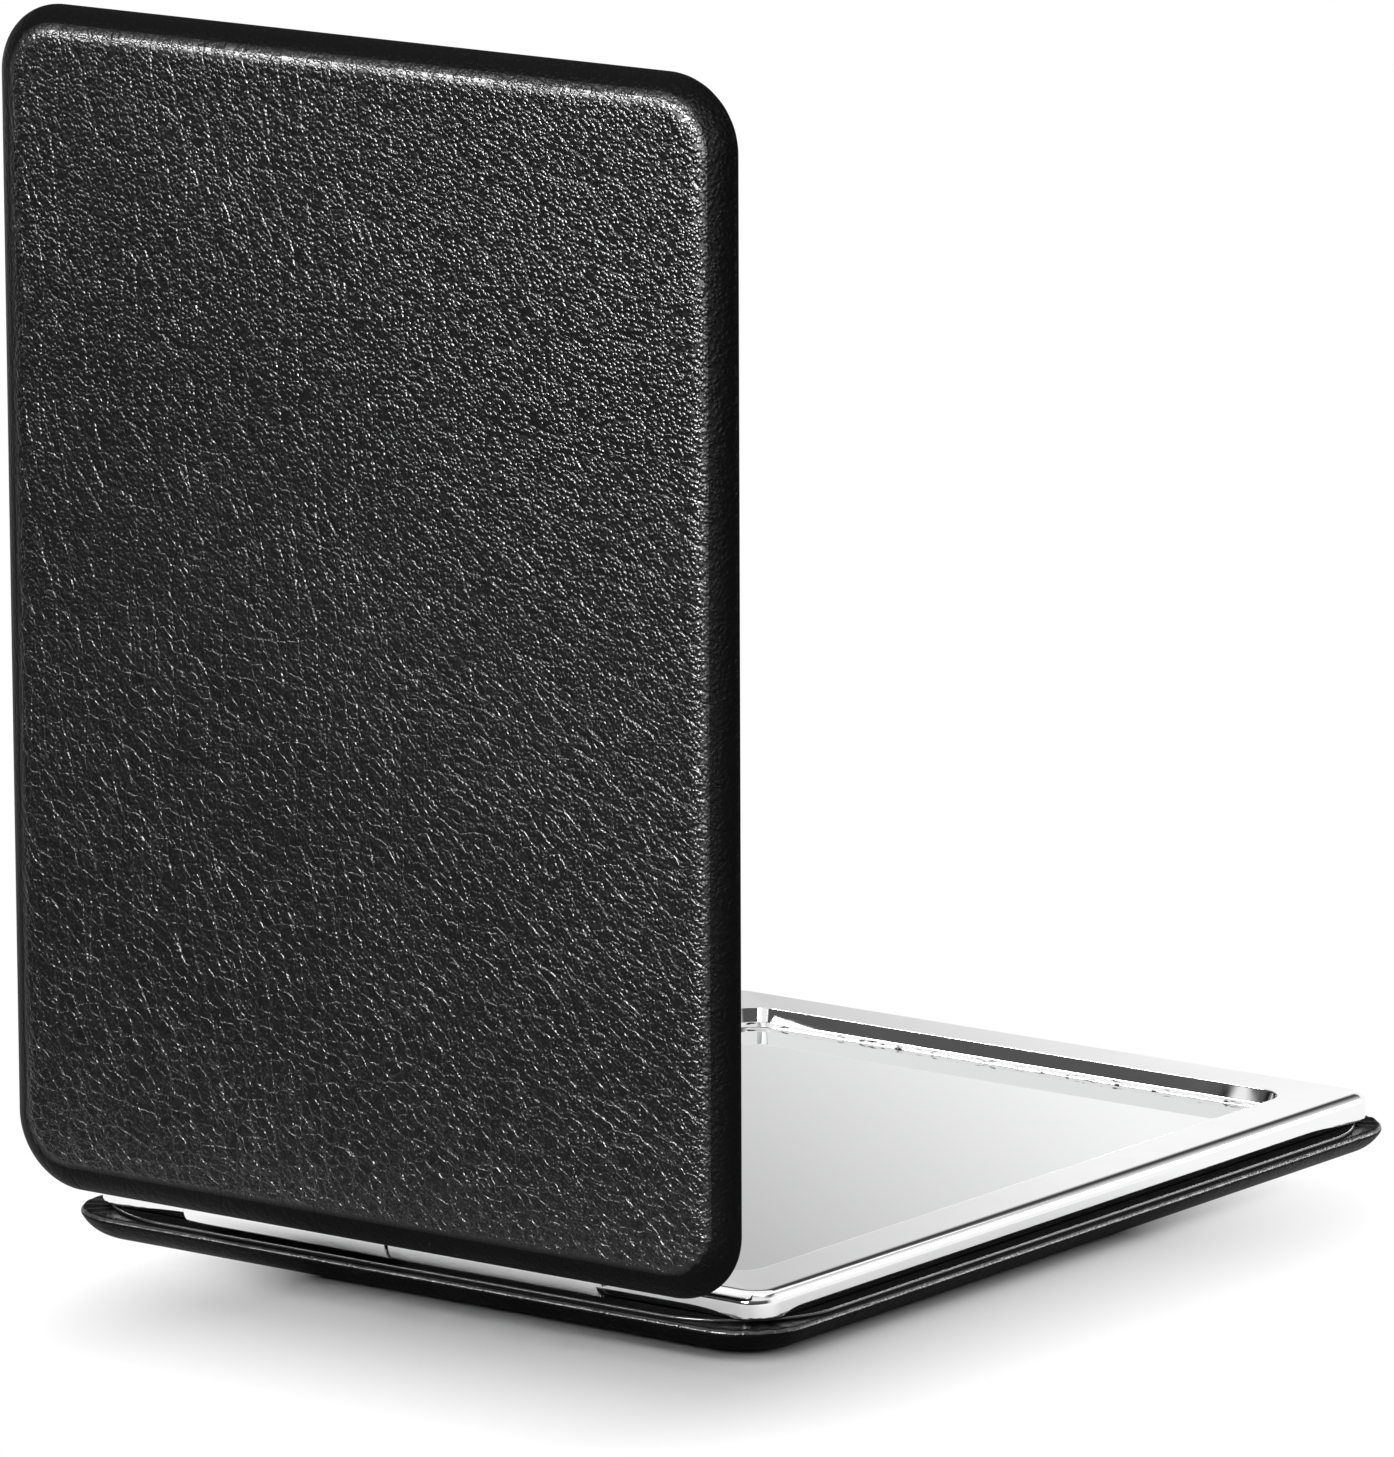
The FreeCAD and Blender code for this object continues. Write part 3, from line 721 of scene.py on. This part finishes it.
soft_lamp("top_light", LAMP_PLACE, LAMP_AIM, LAMP_SIDE, LAMP_WATTS)

# %% [markdown]
# The table is white, and further off it fades to the plain white of the background.
# A larger lamp could make it white everywhere, but it would wash out the shadow too; so its material glows
# instead, more with every step away from the part, and only for rays that look at it.

# %% Table
TABLE_RADIUS, TABLE_GREY = 3.0, (0.8, 0.8, 0.8, 1.0)
FADE_MIDDLE, FADE_CORE, FADE_REACH = (0.012, -0.02, 0.0), (0.019, 0.0229, 1.0), (0.015, 0.028, 1.0)
FADE_NEAR, FADE_FAR = 0.1, 0.95
SQUARE = ((-1, -1), (1, -1), (1, 1), (-1, 1))


def stage_piece(name, points, material):
    """A flat thing with four corners that isn't part of the object."""
    mesh = bpy.data.meshes.new(name)
    mesh.from_pydata(points, [], [(0, 1, 2, 3)])
    mesh.materials.append(material)
    thing = bpy.data.objects.new(name, mesh)
    scene.collection.objects.link(thing)
    return thing


def vector_step(material, operation, *terms):
    """One step of arithmetic on vectors."""
    return add_node(material, "ShaderNodeVectorMath", dict(enumerate(terms)), operation=operation).outputs


def fading_white():
    """White cloth and white glow, mixed by how far a place lies outside a core, in shares of a reach."""
    sockets = {"Base_Color": TABLE_GREY, "Roughness": 0.9, "Specular_IOR_Level": 0.0}
    material, shader = new_material("white_table", **sockets)
    rays = add_node(material, "ShaderNodeLightPath").outputs
    seen = weigh(material, "MAXIMUM", rays["Is Camera Ray"], rays["Is Glossy Ray"])
    seen = weigh(material, "MAXIMUM", seen, rays["Is Transmission Ray"])
    away = vector_step(material, "SUBTRACT", object_place(material), FADE_MIDDLE)[0]
    away = vector_step(material, "SUBTRACT", vector_step(material, "ABSOLUTE", away)[0], FADE_CORE)[0]
    away = vector_step(material, "MAXIMUM", away, (0.0, 0.0, 0.0))[0]
    away = vector_step(material, "DIVIDE", away, FADE_REACH)[0]
    distance = vector_step(material, "LENGTH", away)["Value"]
    fade = weigh(material, "MULTIPLY", spread(material, distance, 0.0, 1.0, FADE_NEAR, FADE_FAR), seen)
    glow = add_node(material, "ShaderNodeEmission", {"Color": WHITE})
    shaders = {0: fade, 1: shader.outputs[0], 2: glow.outputs[0]}
    mix = add_node(material, "ShaderNodeMixShader", shaders)
    wire(material, mix.outputs[0], material.node_tree.nodes["Material Output"].inputs["Surface"])
    return material


stage_piece("table", [(TABLE_RADIUS * x, TABLE_RADIUS * y, 0.0) for x, y in SQUARE], fading_white())
print("table:", 2 * TABLE_RADIUS, "m wide")

# %% [markdown]
# Photographers lay black card where they want dark edges in metal, and hang soft boxes where they want light
# in it, and so do we.
# A card on the table in front draws the dark line round the chrome and leaves the leather's edges black.
# A large box far to the left and a small one near on the right make the leather glitter, because each pebble
# has a spot that mirrors a box, and a strip behind on the right whitens the rim's walls.
# Lamps would light the table too. These are glowing cards that only reflections can see.

# %% Cards and soft boxes
CARD_LEFT, CARD_RIGHT, CARD_NEAR, CARD_FAR, CARD_LIFT = -0.7, 0.8, -0.062, -0.8, 0.0002
CARD_BLACK = (0.01, 0.01, 0.01, 1.0)
BOX_AIM = np.array([0.0, -0.045, 0.07])
BOXES = {
    "left_box": (np.array([-0.66, -1.0, 0.45]), 0.6, 0.22, 27.0),
    "right_box": (np.array([0.03, -0.45, 0.135]), 0.2, 0.18, 72.0),
}
BOX_FADES = (("Z", 0.0, 0.35), ("Z", 1.0, 0.7), ("X", 0.0, 0.25), ("X", 1.0, 0.8))
STRIP_MIDDLE, STRIP_AIM = np.array([0.31, 0.5, 0.19]), np.zeros(3)
STRIP_WIDTH, STRIP_HEIGHT, STRIP_GLOW = 0.2, 0.16, 9.0


def facing_corners(middle, aim, width, height):
    """Corners of a level-sided rectangle round a point, square to the line to what it faces."""
    out = (aim - middle) / np.linalg.norm(aim - middle)
    level = np.cross(out, (0.0, 0.0, 1.0))
    level = level / np.linalg.norm(level) * width / 2
    steep = np.cross(level, out)
    steep = steep / np.linalg.norm(steep) * height / 2
    return [middle + a * level + b * steep for a, b in SQUARE]


def soft_box(name, middle, width, height, glow):
    """A glowing cloth that is brightest in its middle and fades to all four sides."""
    cloth, _ = new_material(name)
    where = add_node(cloth, "ShaderNodeTexCoord").outputs["Generated"]
    parts = add_node(cloth, "ShaderNodeSeparateXYZ", {0: where}).outputs
    light = glow
    for part, dark, bright in BOX_FADES:
        light = weigh(cloth, "MULTIPLY", light, spread(cloth, parts[part], 0.0, 1.0, dark, bright))
    emission = add_node(cloth, "ShaderNodeEmission", {"Strength": light})
    wire(cloth, emission.outputs[0], cloth.node_tree.nodes["Material Output"].inputs["Surface"])
    return stage_piece(name, facing_corners(middle, BOX_AIM, width, height), cloth)


black, _ = new_material("black_card", Base_Color=CARD_BLACK, Roughness=1.0, Specular_IOR_Level=0.0)
card_corners = [(CARD_LEFT, CARD_NEAR), (CARD_LEFT, CARD_FAR)]
card_corners += [(CARD_RIGHT, CARD_FAR), (CARD_RIGHT, CARD_NEAR)]
strip_cloth, _ = new_material("strip_cloth", Emission_Strength=STRIP_GLOW, Emission_Color=WHITE)
strip_corners = facing_corners(STRIP_MIDDLE, STRIP_AIM, STRIP_WIDTH, STRIP_HEIGHT)
cards = [soft_box(name, *sizes) for name, sizes in BOXES.items()]
cards.append(stage_piece("black_card", [(x, y, CARD_LIFT) for x, y in card_corners], black))
cards.append(stage_piece("strip_light", strip_corners, strip_cloth))
for thing in cards:
    thing.visible_camera = False
    thing.visible_diffuse = False
    thing.visible_shadow = False
print("cards and boxes:", [thing.name for thing in cards])

# %% [markdown]
# The rim frame is plated metal, cast with a soft outer edge and a bevelled lip over the glass.
# The CAD solid is right in shape, but its mesh is cut into flat triangles, which polished plating would show.
# So the section of the rim is carried round two rails, the outer outline and the opening's, whose corners
# differ.

# %% Rounded outlines in step with each other
ARC_STEPS, RUN_STEPS = 24, 30
RING_POINTS = 4 * (ARC_STEPS + RUN_STEPS)
LEAST_CORNER = 0.05


def corner_arcs(centres, radius, steps):
    """Four quarter rounds about four centres, one after the other, in even steps of angle."""
    angles = np.radians(np.arange(4)[:, None] * 90 - 90 + np.linspace(0, 90, steps + 1))
    return np.array(centres)[:, None] + radius * np.stack([np.cos(angles), np.sin(angles)], -1)


def outline(half_x, near, far, corner):
    """A rounded rectangle as a ring of points: four arcs of equal angle steps, with even steps between them.

    near and far are the reaches towards the hinge and away from it. Every outline has the same count of
    points, so points with the same number on two outlines belong together.
    """
    x, low, high = half_x - corner, corner - near, far - corner
    arcs = corner_arcs([(x, low), (x, high), (-x, high), (-x, low)], corner, ARC_STEPS)
    share = (np.arange(1, RUN_STEPS) / RUN_STEPS)[:, None]
    runs = arcs[:, None, -1] * (1 - share) + np.roll(arcs, -1, axis=0)[:, None, 0] * share
    return np.concatenate([arcs, runs], axis=1).reshape(-1, 2)


def grown(rail, amount):
    """A rail moved outwards on all sides, with its corners kept round."""
    return (*(reach + amount for reach in rail[:3]), max(rail[3] + amount, LEAST_CORNER))


def carried(section):
    """Points and faces of a ring whose closed section is a list of (rail, growth, height)."""
    rings = [
        np.column_stack([outline(*grown(rail, growth)), np.full(RING_POINTS, height)])
        for rail, growth, height in section
    ]
    table = np.arange(len(rings) * RING_POINTS).reshape(len(rings), -1)
    return np.concatenate(rings), quads(table, around=True, along=True)


def rounding(rail, growth, height, radius, start, end, steps):
    """Section points on an arc: its centre's growth and height, then its first and last angle."""
    angles = np.radians(np.linspace(start, end, steps + 1))
    return [(rail, growth + radius * math.cos(a), height + radius * math.sin(a)) for a in angles]


tape_low, tape_high = node_box("base_frame_tape")
TAPE_INSET, RIM_CORNER = 0.4, 2.2
RIM = (tape_high[0] + TAPE_INSET, TAPE_INSET - tape_low[1], tape_high[1] + TAPE_INSET, RIM_CORNER)
RIM_BOTTOM = tape_high[2]
CLOSING_GAP = 0.1
RIM_TOP = AXIS_Z - CLOSING_GAP / 2
print("rim from", round(RIM_BOTTOM, 2), "to", round(RIM_TOP, 2), "mm, reaches", [round(r, 2) for r in RIM])

# %% [markdown]
# Chrome is nearly white metal with a very smooth skin.
# A perfect mirror finish looks drawn, so faint polishing clouds change the roughness a little, and a very
# shallow bump makes reflections swim as they do on real plating.
# The polishing wheel can't reach the lip beside the glass, so it stays rougher; its dark specks are a painted
# reflection in its colour.

# %% Chrome
CHROME_WHITE = (0.93, 0.93, 0.935, 1.0)
POLISH_SCALE, POLISH_DETAIL, POLISH_RANGE, CHROME_SHINE = 260.0, 4.0, (0.3, 0.7), (0.03, 0.075)
SWIM_SCALE, SWIM_DETAIL, SWIM_STRENGTH, SWIM_DEPTH = 120.0, 1.0, 0.15, 0.02 * MM
SPECK_STRETCH, SPECK_SCALE, SPECK_DETAIL = (0.35, 0.35, 1.6), 2600.0, 2.0
# Dark specks in the lip's colour: painted reflection.
PAINTED_SPECK_STOPS = ((0.0, 0.9), (0.58, 0.9), (0.66, 0.03), (1.0, 0.03))


def chrome_plating():
    """Bright metal whose roughness wanders with a soft noise, over a shallow slow bump."""
    material, shader = new_material("chrome_plating", Metallic=1.0, Base_Color=CHROME_WHITE)
    where = object_place(material)
    polish = cloud(material, where, POLISH_SCALE, POLISH_DETAIL)
    wire(material, spread(material, polish, *CHROME_SHINE, *POLISH_RANGE), shader.inputs["Roughness"])
    swim = cloud(material, where, SWIM_SCALE, SWIM_DETAIL)
    inputs = {"Strength": SWIM_STRENGTH, "Distance": SWIM_DEPTH, "Height": swim}
    bump = add_node(material, "ShaderNodeBump", inputs)
    wire(material, bump.outputs["Normal"], shader.inputs["Normal"])
    return material


def lip_with_painted_specks():
    """The same metal, rougher, with dark specks of painted reflection drawn out along the lip."""
    material, shader = new_material("chrome_lip", Metallic=1.0, Roughness=0.12)
    drawn_out = scaled(material, object_place(material), SPECK_STRETCH)
    specks = cloud(material, drawn_out, SPECK_SCALE, SPECK_DETAIL)
    wire(material, grey_ramp(material, specks, PAINTED_SPECK_STOPS), shader.inputs["Base Color"])
    return material


chrome, lip_chrome = chrome_plating(), lip_with_painted_specks()
print("chrome:", chrome.name, lip_chrome.name)

# %% [markdown]
# The rim's section goes from its foot up the outer wall, over a broad rounding to a top that dips a little
# towards the opening, down the opening's leaning wall, over the bevelled lip and back under it, where the
# glass sits.
# Beside each sharp edge stands a second ring close by, so that smooth shading turns only between the two and
# the flats stay flat.

# %% Rim section
RIM_WIDTH, RIM_ROUND, FOOT_ROUND = 4.75, 0.9, 0.06
RIM_STEPS, FOOT_STEPS, BRINK_STEPS, WALL_RINGS = 16, 3, 4, 5
WALL_FOOT, WALL_HEAD = 0.2, 0.05
RIM_DISH, EDGE_RING = 0.05, 0.04
OPENING_CORNER, BRINK_ROUND, BRINK_END = 2.6, 0.05, 170
BRINK_LEAN, BRINK_DROP = 0.02, 0.08
WALL_DRAFT, DRAFT_RING = 0.19, (0.01, 0.05)
LIP_WIDTH, LIP_THICK, LIP_PLAY, LIP_RINGS = 0.36, 0.36, 0.02, (0.02, 0.04, 0.05)
GLASS_POCKET = 0.35
GLASS_TOP = node_box("base_mirror_glass")[1][2]
OPENING = (*(reach - RIM_WIDTH for reach in RIM[:3]), OPENING_CORNER)
LIP_BOTTOM = GLASS_TOP + LIP_PLAY
LIP_TOP = LIP_BOTTOM + LIP_THICK


def rim_section():
    """The section as (rail, growth, height): arcs at the foot, the rim and the brink, with rings between."""
    step, drop, rise = LIP_RINGS
    brink = RIM_TOP - RIM_DISH - BRINK_ROUND
    section = rounding(RIM, -FOOT_ROUND, RIM_BOTTOM + FOOT_ROUND, FOOT_ROUND, -90, 0, FOOT_STEPS)
    wall = np.linspace(RIM_BOTTOM + WALL_FOOT, RIM_TOP - RIM_ROUND - WALL_HEAD, WALL_RINGS)
    section += [(RIM, 0.0, height) for height in wall]
    section += rounding(RIM, -RIM_ROUND, RIM_TOP - RIM_ROUND, RIM_ROUND, 0, 90, RIM_STEPS)
    section += [
        (RIM, -RIM_ROUND - EDGE_RING, RIM_TOP),
        (OPENING, BRINK_ROUND + EDGE_RING, RIM_TOP - RIM_DISH),
    ]
    section += rounding(OPENING, BRINK_ROUND, brink, BRINK_ROUND, 90, BRINK_END, BRINK_STEPS)
    section += [
        (OPENING, -BRINK_LEAN, brink - BRINK_DROP),
        (OPENING, DRAFT_RING[0] - WALL_DRAFT, LIP_TOP + DRAFT_RING[1]),
        (OPENING, -WALL_DRAFT, LIP_TOP),
        (OPENING, -WALL_DRAFT - step, LIP_TOP - drop),
        (OPENING, step - LIP_WIDTH, LIP_BOTTOM + rise),
        (OPENING, -LIP_WIDTH, LIP_BOTTOM),
        (OPENING, GLASS_POCKET, LIP_BOTTOM),
        (OPENING, GLASS_POCKET, RIM_BOTTOM),
    ]
    return section


print(f"rim section: {len(rim_section())} points, lip from {LIP_BOTTOM:.2f} to {LIP_TOP:.2f} mm")

# %% [markdown]
# Each frame ends in one hinge knuckle: a tube beside the pad, joined to the rim by a thin web.
# A tube is a small closed section turned about the hinge line, so it needs no caps.
# The web is a flat bar with rounded long edges, whose section is drawn along the hinge line.

# %% Knuckles and webs
KNUCKLE_RADIUS, KNUCKLE_REACH, KNUCKLE_GAP, KNUCKLE_CHAMFER = 1.3, 18.0, 0.3, 0.12
KNUCKLE_EASE, KNUCKLE_SOFT, KNUCKLE_RINGS = 0.02, 0.08, 12
BORE_EASE, CHAMFER_RING = 0.05, 0.03
BORE = {"base": 0.51, "lid": 0.54}
WEB_DROP, WEB_THICK, WEB_ROOT, WEB_SETBACK = 0.3, 0.75, 1.2, 0.4
WEB_SOFT, WEB_ARC_STEPS, WEB_RINGS = 0.08, 4, 8
TURN_STEPS = 72


def turned(section):
    """Points and faces of a ring: a closed section of (x, radius) turned about the hinge line."""
    angle = np.linspace(0, 2 * math.pi, TURN_STEPS + 1)[:-1]
    x, radius = np.array(section).T[..., None]
    parts = [x + 0 * angle, AXIS_Y + radius * np.cos(angle), AXIS_Z + radius * np.sin(angle)]
    table = np.arange(len(section) * TURN_STEPS).reshape(-1, TURN_STEPS)
    return np.stack(parts, -1).reshape(-1, 3), quads(table, around=True, along=True)


def knuckle(bore):
    """A tube with a bevel at its outer end and a softened edge at its inner one."""
    outer, inner, radius = -KNUCKLE_REACH, -KNUCKLE_GAP / 2, KNUCKLE_RADIUS
    chamfer, ease, soft = KNUCKLE_CHAMFER, KNUCKLE_EASE, KNUCKLE_SOFT
    along = np.linspace(outer + chamfer + CHAMFER_RING, inner - soft, KNUCKLE_RINGS)
    section = [
        (outer, bore + BORE_EASE),
        (outer, radius - chamfer - ease),
        (outer + ease, radius - chamfer),
        (outer + chamfer - ease, radius - ease),
        *((x, radius) for x in along),
        (inner - ease, radius - ease),
        (inner, radius - soft),
        (inner, bore + BORE_EASE),
        (inner - BORE_EASE, bore),
        (outer + BORE_EASE, bore),
    ]
    return turned(section)


def web():
    """A bar between knuckle and rim: a rectangle with rounded corners, drawn along X, with end faces."""
    top = AXIS_Z - WEB_DROP
    y_low, y_high = AXIS_Y + WEB_SOFT, -RIM[1] + WEB_ROOT - WEB_SOFT
    z_low, z_high = top - WEB_THICK + WEB_SOFT, top - WEB_SOFT
    centres = [(y_high, z_low), (y_high, z_high), (y_low, z_high), (y_low, z_low)]
    loop = corner_arcs(centres, WEB_SOFT, WEB_ARC_STEPS).reshape(-1, 2)
    places = np.linspace(WEB_SETBACK - KNUCKLE_REACH, -KNUCKLE_GAP / 2 - WEB_SETBACK, WEB_RINGS)
    bars = np.broadcast_to(loop, (WEB_RINGS, *loop.shape))
    rings = np.concatenate([np.broadcast_to(places[:, None, None], (*bars.shape[:2], 1)), bars], -1)
    table = np.arange(rings.shape[0] * rings.shape[1]).reshape(rings.shape[:2])
    return rings.reshape(-1, 3), quads(table, around=True), table[[0, -1]]


print("knuckles:", KNUCKLE_REACH, "mm long,", 2 * KNUCKLE_RADIUS, "mm thick")

# %% [markdown]
# A frame is cast in one, so rim, knuckle and web become one piece of three closed shells.
# The band of faces on the lip gets the finish with painted specks, and edges sharper than forty degrees stay
# sharp.

# %% Chrome frames
SHARP_ANGLE = math.radians(40)


def chrome_frame(half):
    """Rim, knuckle and web of one half: their points in a row, and their faces with the numbers moved on."""
    section = rim_section()
    shells = [carried(section), knuckle(BORE[half]), web()]
    starts = np.cumsum([0] + [len(shell[0]) for shell in shells])
    points = np.concatenate([shell[0] for shell in shells])
    faces = [group + start for shell, start in zip(shells, starts) for group in shell[1:]]
    finishes = [chrome, lip_chrome]
    piece = make_piece(f"{half}_frame", points, faces, half, f"{half}_chrome_frame", finishes)
    least = LIP_BOTTOM + LIP_RINGS[0]
    on_lip = np.array([rail == OPENING and least < height < LIP_TOP for rail, _, height in section])
    finish = np.zeros(len(piece.data.polygons), np.int32)
    finish[: len(section) * RING_POINTS] = np.repeat(on_lip, RING_POINTS)
    piece.data.polygons.foreach_set("material_index", finish)
    piece.data.set_sharp_from_angle(angle=SHARP_ANGLE)


for half in HALVES:
    chrome_frame(half)

# %% [markdown]
# The lining is a thin black facing over the turned-in leather, and its edge is the fine bright line on the
# side of the pad.
# It could be a flat plate, but only its cut edge is seen, so that edge is a small rounding with a shine of
# its own.
# Its corners are cut rounder than the pad's, so there it slips under the frame and the leather shows.

# %% Lining sheets
lining_low, lining_high = node_box("base_lining_sheet")
LINING_CORNER, LINING_EDGE, LINING_STEPS = 9.0, 0.09, 6
LINING = (lining_high[0], -lining_low[1], lining_high[1], LINING_CORNER)
LINING_FOOT, LINING_HOLE, LINING_SHEET = (0.02, 0.03), 0.6, 50.0
LINING_TONES = ((0.01, 0.01, 0.0105), (0.022, 0.022, 0.0225))
SKIN_SHINE, SKIN_GRAIN, SKIN_GLOSS = (0.6, 0.5), 0.007 * MM, 0.0
CUT_SHINE, CUT_GRAIN = (0.22, 0.18), 0.006 * MM
lining_skin = leather("lining_skin", SKIN_SHINE, SKIN_GRAIN, LINING_TONES, SKIN_GLOSS)
# The cut edge takes the edge's darker tones, painted shade, under its own shine.
lining_cut = leather("lining_cut", CUT_SHINE, CUT_GRAIN, EDGE_SHADE_TONES, LACQUER_GLOSS)


def lining_sheet(half):
    """A flat ring with a softened outer edge, from the lining's outline to a little outside the opening."""
    bottom, top = lining_low[2], lining_high[2]
    edge = [(LINING, -LINING_FOOT[0], bottom), (LINING, 0.0, bottom + LINING_FOOT[1])]
    edge += rounding(LINING, -LINING_EDGE, top - LINING_EDGE, LINING_EDGE, 0, 90, LINING_STEPS)
    points, faces = carried(edge + [(OPENING, LINING_HOLE, top), (OPENING, LINING_HOLE, bottom)])
    finishes = [lining_skin, lining_cut]
    piece = make_piece(f"{half}_lining", points, [faces], half, f"{half}_lining_sheet", finishes)
    is_cut = np.arange(len(faces)) < (len(edge) - 1) * RING_POINTS
    piece.data.polygons.foreach_set("material_index", is_cut.astype(np.int32))
    keep_sheet(piece, points[:, :2], LINING_SHEET)


for half in HALVES:
    lining_sheet(half)

# %% [markdown]
# The panes are silvered glass: a flat mirror a little darker than the chrome, because its light goes twice
# through the glass.
# Their CAD shape is right, flat with a ground edge, so they stay and only get the finish.

# %% Mirror panes
SILVER = (0.9, 0.905, 0.905, 1.0)
WIPE_SCALE, WIPE_DETAIL, WIPE_RANGE, GLASS_SHINE = 45.0, 5.0, (0.35, 0.65), (0.012, 0.03)


def silvered_glass():
    """A slightly grey mirror with the faintest haze, as if wiped and not washed."""
    material, shader = new_material("silvered_glass", Metallic=1.0, Base_Color=SILVER)
    wiped = cloud(material, object_place(material), WIPE_SCALE, WIPE_DETAIL)
    wire(material, spread(material, wiped, *GLASS_SHINE, *WIPE_RANGE), shader.inputs["Roughness"])
    return material


def give_finish(thing, material):
    """Put one material in place of what a CAD node came with."""
    thing.data.materials.clear()
    thing.data.materials.append(material)


glass = silvered_glass()
for half in HALVES:
    give_finish(frame["nodes"][f"{half}_mirror_glass"], glass)
print("panes:", glass.name)

# %% [markdown]
# What is left is hidden or nearly so, and keeps its CAD shape: two kinds of tape, the magnets and the hinge
# pin.
# Tape is a thin film with a faint weave, magnets are nickel plated and a little cloudy, and the pin was
# turned on a lathe, so very fine rings run round it.

# %% Tapes, magnets and pin
WEAVE_SCALE, NICKEL_SCALE, NICKEL_DETAIL = 900.0, 1500.0, 4.0
RING_SCALE, RING_WANDER = 2500.0, 0.4
TAPE_TONES = ((0.42, 0.42, 0.4), (0.62, 0.62, 0.6))
NICKEL_TONES = ((0.5, 0.49, 0.46), (0.66, 0.65, 0.62))
STEEL_TONES = ((0.5, 0.5, 0.51), (0.68, 0.68, 0.69))
TAPE_DEPTH, NICKEL_DEPTH, STEEL_DEPTH = 0.005 * MM, 0.002 * MM, 0.003 * MM


def stripes(material, where, side, scale, wander=0.0):
    """Even bands across X or Y, straight or a little wandering."""
    inputs = {"Vector": where, "Scale": scale, "Distortion": wander}
    return add_node(material, "ShaderNodeTexWave", inputs, bands_direction=side).outputs["Fac"]


def weave(material, where):
    """Crossing threads: the higher of two sets of stripes at right angles."""
    threads = [stripes(material, where, side, WEAVE_SCALE) for side in ("X", "Y")]
    return weigh(material, "MAXIMUM", *threads)


def uneven_plating(material, where):
    """Soft clouds."""
    return cloud(material, where, NICKEL_SCALE, NICKEL_DETAIL)


def tool_rings(material, where):
    """Fine tool marks along X."""
    return stripes(material, where, "X", RING_SCALE, RING_WANDER)


tape = textured("tape_film", weave, TAPE_TONES, TAPE_DEPTH, Roughness=0.5)
nickel = textured("nickel_plating", uneven_plating, NICKEL_TONES, NICKEL_DEPTH, Metallic=1.0, Roughness=0.28)
steel = textured("turned_steel", tool_rings, STEEL_TONES, STEEL_DEPTH, Metallic=1.0, Roughness=0.24)
FINISHES = {"frame_tape": tape, "mirror_tape": tape, "magnet_left": nickel, "magnet_right": nickel}
kept = {f"{half}_{piece}": finish for half in HALVES for piece, finish in FINISHES.items()}
kept["hinge_pin"] = steel
for node, finish in kept.items():
    give_finish(frame["nodes"][node], finish)
print("finished:", sorted(kept))
